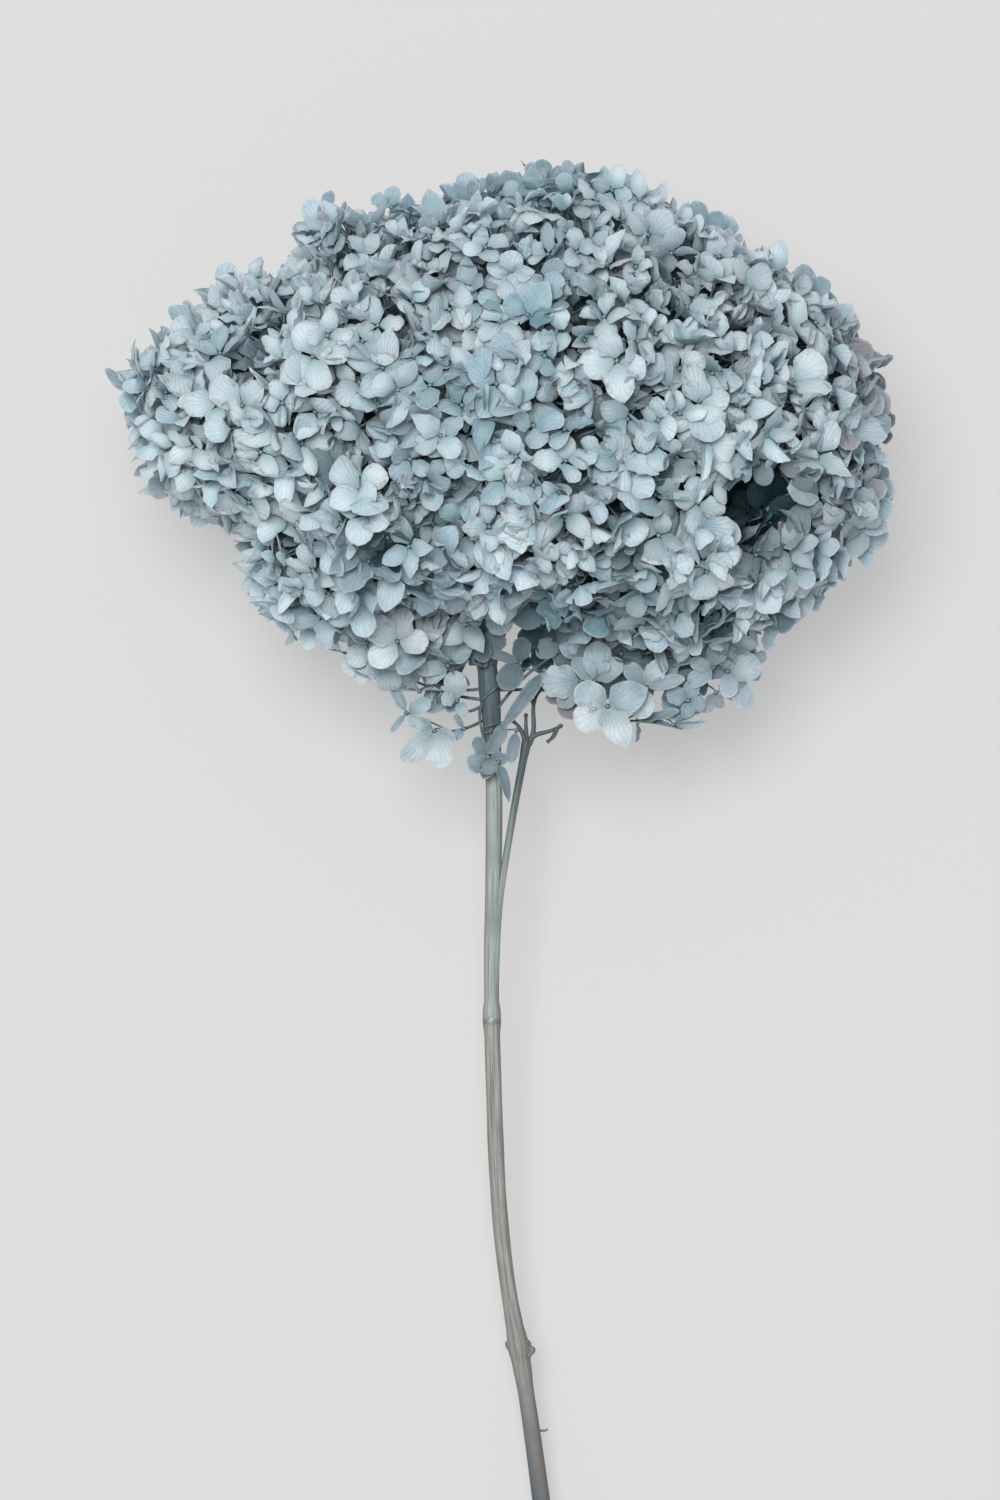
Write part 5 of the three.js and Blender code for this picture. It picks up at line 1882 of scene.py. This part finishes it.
@dataclass
class Stem:
    """The woody stem: a tapering bar with two swollen nodes, buds and a clean cut."""

    path: Table = (
        (19.5, 0), (12.3, 60), (7.1, 96.6), (5.7, 105), (4.2, 113), (-0.2, 147), (-2, 187),
        (-2.5, 205), (-1.9, 255), (-3, 300), (-4.2, 315), (-4, 350),
    )
    radii: Table = (
        (0, 2.7), (60, 2.65), (92, 2.45), (101, 2.85), (106, 3.35), (109, 3.0), (112, 2.6), (120, 2.35),
        (170, 2.4), (199, 2.35), (203.5, 2.75), (206.5, 2.75), (210, 2.3), (255, 2.45), (285, 2.5),
        (303, 3.2), (318, 2.4), (350, 2),
    )
    knob: Table = ((0, 1.25), (0.5, 1.1), (0.85, 0.65), (1, 0.2))
    stations: int = 230
    sides: int = 30
    ribs: tuple[int, float] = (7, 0.018)
    lump_height: float = 0.05
    lump_width: float = 19.0
    lump_seed: int = 61

    def bar(self) -> Part:
        """The bar, with a cut end whose rim is rounded and whose pith is sunk.

        The radius is read from the table by height, and low ribs follow the fibres.
        """
        points = np.array([(u, v, 0.0) for u, v in self.path])
        heights = np.linspace(0, points[-1, 1], self.stations)
        knots = np.concatenate([[0], np.cumsum(np.linalg.norm(np.diff(points, axis=0), axis=1))])
        shares = np.interp(heights, points[:, 1], knots / knots[-1])
        line = spline(points, shares)
        lumps = self.lump_height * drift(line, self.lump_width, self.lump_seed)
        radii = read_table(self.radii, heights) + lumps
        way = unit(line[:1] - line[1:2])
        inner = np.array([0.3, 0.34, 0.75, 0.93, 1.0])
        sunk = np.array([-0.45, -0.1, 0.0, 0.05, -0.12])
        end = line[:1] + way * sunk[:, None]
        line = np.concatenate([end, line[1:]])
        radii = np.concatenate([radii[0] * inner, radii[1:]])
        part = sweep(line[None], radii[None], self.sides, self.ribs)
        part.grain[:, 2] = np.maximum(part.places[:, 1], 0)
        return part

    def buds(self) -> list[Part]:
        """The buds at the nodes, the leaf scars and the stub of a fallen leaf stalk."""
        bud = ((0, 1.8), (0.5, 1.7), (0.8, 1.25), (0.95, 0.7), (1, 0.3))
        scale = ((0, 0.8), (0.4, 0.95), (0.8, 0.6), (1, 0.15))
        stub = ((0, 0.7), (0.3, 0.42), (0.9, 0.36), (1, 0.15))
        return [
            twig([(6.8, 104.6, 0.2), (8.8, 104.9, 0.4), (10.6, 105.3, 0.5)], bud, 14),
            twig([(7.4, 103.0, 0.8), (8.8, 103.7, 1.2), (9.8, 104.6, 1.2)], scale, 12),
            twig([(7.3, 107.4, 0.4), (8.3, 107.2, 0.9), (9.3, 106.2, 1.1)], scale, 12),
            twig([(4.0, 105.2, 0.2), (2.6, 106.4, 0.4), (1.8, 107.6, 0.4)], self.knob, 12),
            twig([(9.6, 80.6, 0), (12.0, 80.9, 0.2), (13.6, 80.9, 0.3), (14.4, 81.4, 0.3)], stub, 12, 8),
        ]

    def build(self) -> None:
        """Builds the bar, its buds and the small pale bud over the upper node."""
        make_piece("stem_bar", [self.bar()], Bark().material(), "stem")
        scale = Skin("bud_scale", "#888A82", "#50534D", 1.2).material()
        make_piece("stem_buds", self.buds(), scale, "stem")
        upper = twig([(-2.7, 203.9, 2.0), (-2.6, 204.6, 2.9), (-2.5, 205.3, 3.6)], self.knob, 12)
        skin = Skin("young_bud_scale", "#B4C0BF", "#76878A", 1.2).material()
        make_piece("stem_upper_bud", [upper], skin, "stem")


@dataclass
class SideShoot:
    """The dry side shoot: a ridge up the stem that leaves it and forks into bare twigs."""

    main: tuple[Point, ...] = (
        (-1.2, 208, 0.9), (-0.9, 224, 1.0), (0.0, 240, 1.3), (2.1, 254.7, 2.4), (4.8, 270.6, 3.3),
        (6.6, 280.2, 3.5), (8.1, 288, 3.5),
    )
    main_radii: Table = ((0, 0.5), (0.2, 0.9), (0.6, 1.05), (0.9, 1.15), (1, 1.5))
    twigs: tuple[tuple[Point, ...], ...] = (
        ((8.6, 287, 3.5), (9.9, 288.9, 3.6), (14, 290.4, 4), (18.8, 292.5, 4.6)),
        ((16.8, 291.4, 4.3), (16.2, 289.4, 4.3), (14, 287.3, 4.4)),
        ((8.6, 286.6, 3.5), (9.8, 289.5, 3.4), (10.2, 299.1, 3), (12.5, 304, 2.4)),
        ((7.9, 286.6, 3.5), (7.2, 288.6, 3.8), (5.6, 292, 4.4), (3.4, 294, 5)),
        ((8.2, 286.6, 3.5), (7.9, 289.5, 3), (7.8, 296, 2.4)),
        ((10.2, 299, 3.0), (9.6, 299.8, 3.2), (8.7, 300.1, 3.4)),
    )
    twig_radii: Table = ((0, 0.95), (0.3, 0.7), (0.86, 0.5), (0.93, 0.75), (1, 0.35))
    green: tuple[str, str] = ("#94A29D", "#5F6F6E")
    slate: tuple[str, str] = ("#556166", "#343F44")
    slate_mm: tuple[float, float] = (258.0, 288.0)
    # Painted shade on both flanks of the shoot.
    painted_flank_shade: float = 0.3

    def build(self) -> None:
        """Builds the shoot and its twigs as one piece, whose bark follows their heights."""
        parts = [twig(self.main, self.main_radii, 60, 16)]
        parts += [twig(points, self.twig_radii, 24, 10) for points in self.twigs]
        for part in parts:
            part.grain[:, 2] = part.places[:, 1]
        bark = Bark(
            "dry_shoot_bark", self.green, slate=self.slate, slate_mm=self.slate_mm, painted_flank_shade=self.painted_flank_shade
        )
        make_piece("shoot_twigs", parts, bark.material(), "side_shoot")


@dataclass(frozen=True)
class Studio:
    """A pale floor, broad soft light from the camera's side, and the camera over the plant."""

    floor_side: float = 24.0
    floor_colour: str = "#8A8A8A"
    floor_glow: float = 0.405
    lens: float = 144.0
    sensor: float = 36.0
    frame_height_mm: float = 450.0
    aim_mm: Point = (0.0, 285.0, 0.0)
    key_size: float = 0.9
    key_power: float = 41.0
    key_aim_mm: Point = (0.0, 350.0, 0.0)
    key_offset: Point = (-0.22, 0.34, 2.0)
    sky: float = 0.45

    def floor(self) -> None:
        """A wide sheet of white acrylic, lit a little from below, so that shadows on it are faint."""
        half = self.floor_side / 2
        corners = [(-half, -half, 0), (half, -half, 0), (half, half, 0), (-half, half, 0)]
        mesh = bpy.data.meshes.new("floor")
        mesh.from_pydata(corners, [], [(0, 1, 2, 3)])
        floor = bpy.data.objects.new("floor", mesh)
        bpy.context.scene.collection.objects.link(floor)
        material, _, shader = start_material("white_acrylic")
        feed(shader, {
            "Base Color": linear(self.floor_colour),
            "Emission Color": linear("#FFFFFF"),
            "Emission Strength": self.floor_glow,
            "Roughness": 0.9,
            "Specular IOR Level": 0.1,
        })
        mesh.materials.append(material)

    def stand(self, thing: bpy.types.Object, axes: tuple[np.ndarray, ...], spot: np.ndarray) -> None:
        """Puts a camera or lamp in the scene, with its own right, up and back along three axes."""
        rows = np.eye(4)
        rows[:3] = np.stack([*axes, spot], axis=-1)
        thing.matrix_world = Matrix(rows)
        bpy.context.scene.collection.objects.link(thing)

    def camera(self) -> None:
        """Looks along the plant's own W, so that the frame shows the plant as it stands upright."""
        distance = self.frame_height_mm * MM * self.lens / self.sensor
        axes = LYING.turn(np.eye(3))
        camera = bpy.data.objects.new("camera", bpy.data.cameras.new("camera"))
        camera.data.lens = self.lens
        camera.data.sensor_width = self.sensor
        camera.data.clip_end = 20
        self.stand(camera, axes, LYING.place(np.array(self.aim_mm), pressed=False) + axes[2] * distance)
        bpy.context.scene.camera = camera

    def lights(self) -> None:
        """One large soft lamp near the camera's axis and an even pale sky."""
        lamp = bpy.data.lights.new("key", "AREA")
        lamp.shape = "DISK"
        lamp.size = self.key_size
        lamp.energy = self.key_power
        lamp.color = linear("#FFFDFA")[:3]
        axes = LYING.turn(np.eye(3))
        centre = LYING.place(np.array(self.key_aim_mm), pressed=False)
        offset = self.key_offset @ axes
        away = unit(offset)
        side = unit(np.cross(axes[1], away))
        key = bpy.data.objects.new("key", lamp)
        self.stand(key, (side, np.cross(away, side), away), centre + offset)
        world = bpy.data.worlds.new("studio")
        world.use_nodes = True
        feed(world.node_tree.nodes["Background"], {"Color": linear("#FBFCFF"), "Strength": self.sky})
        bpy.context.scene.world = world
        bpy.context.scene.view_settings.view_transform = "Standard"

    def build(self) -> None:
        """Sets up the floor, the camera and the lights."""
        self.floor()
        self.camera()
        self.lights()


def main() -> None:
    """Builds the studio and the plant."""
    logging.basicConfig(level=logging.INFO, format="%(name)s: %(message)s", stream=sys.stdout)
    Studio().build()
    FlowerHead().build()
    sepal = PreservedSepal(
        "spray_sepal", "#647A82", "#98AAB3", "#CBD6DB", base="#6F868C", shade="#31464C"
    ).material()
    skin = Skin("spray_stalk_skin", "#66767B", "#3F4D52", 2.0).material()
    bud = Skin("spray_eye_bud", "#84969B", "#5A6B71", 0.8).material()
    for spray in (left_spray(), right_spray(), stem_spray()):
        spray.build(sepal, skin, bud)
    Stem().build()
    SideShoot().build()
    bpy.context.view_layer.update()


if __name__ == "__main__":
    main()
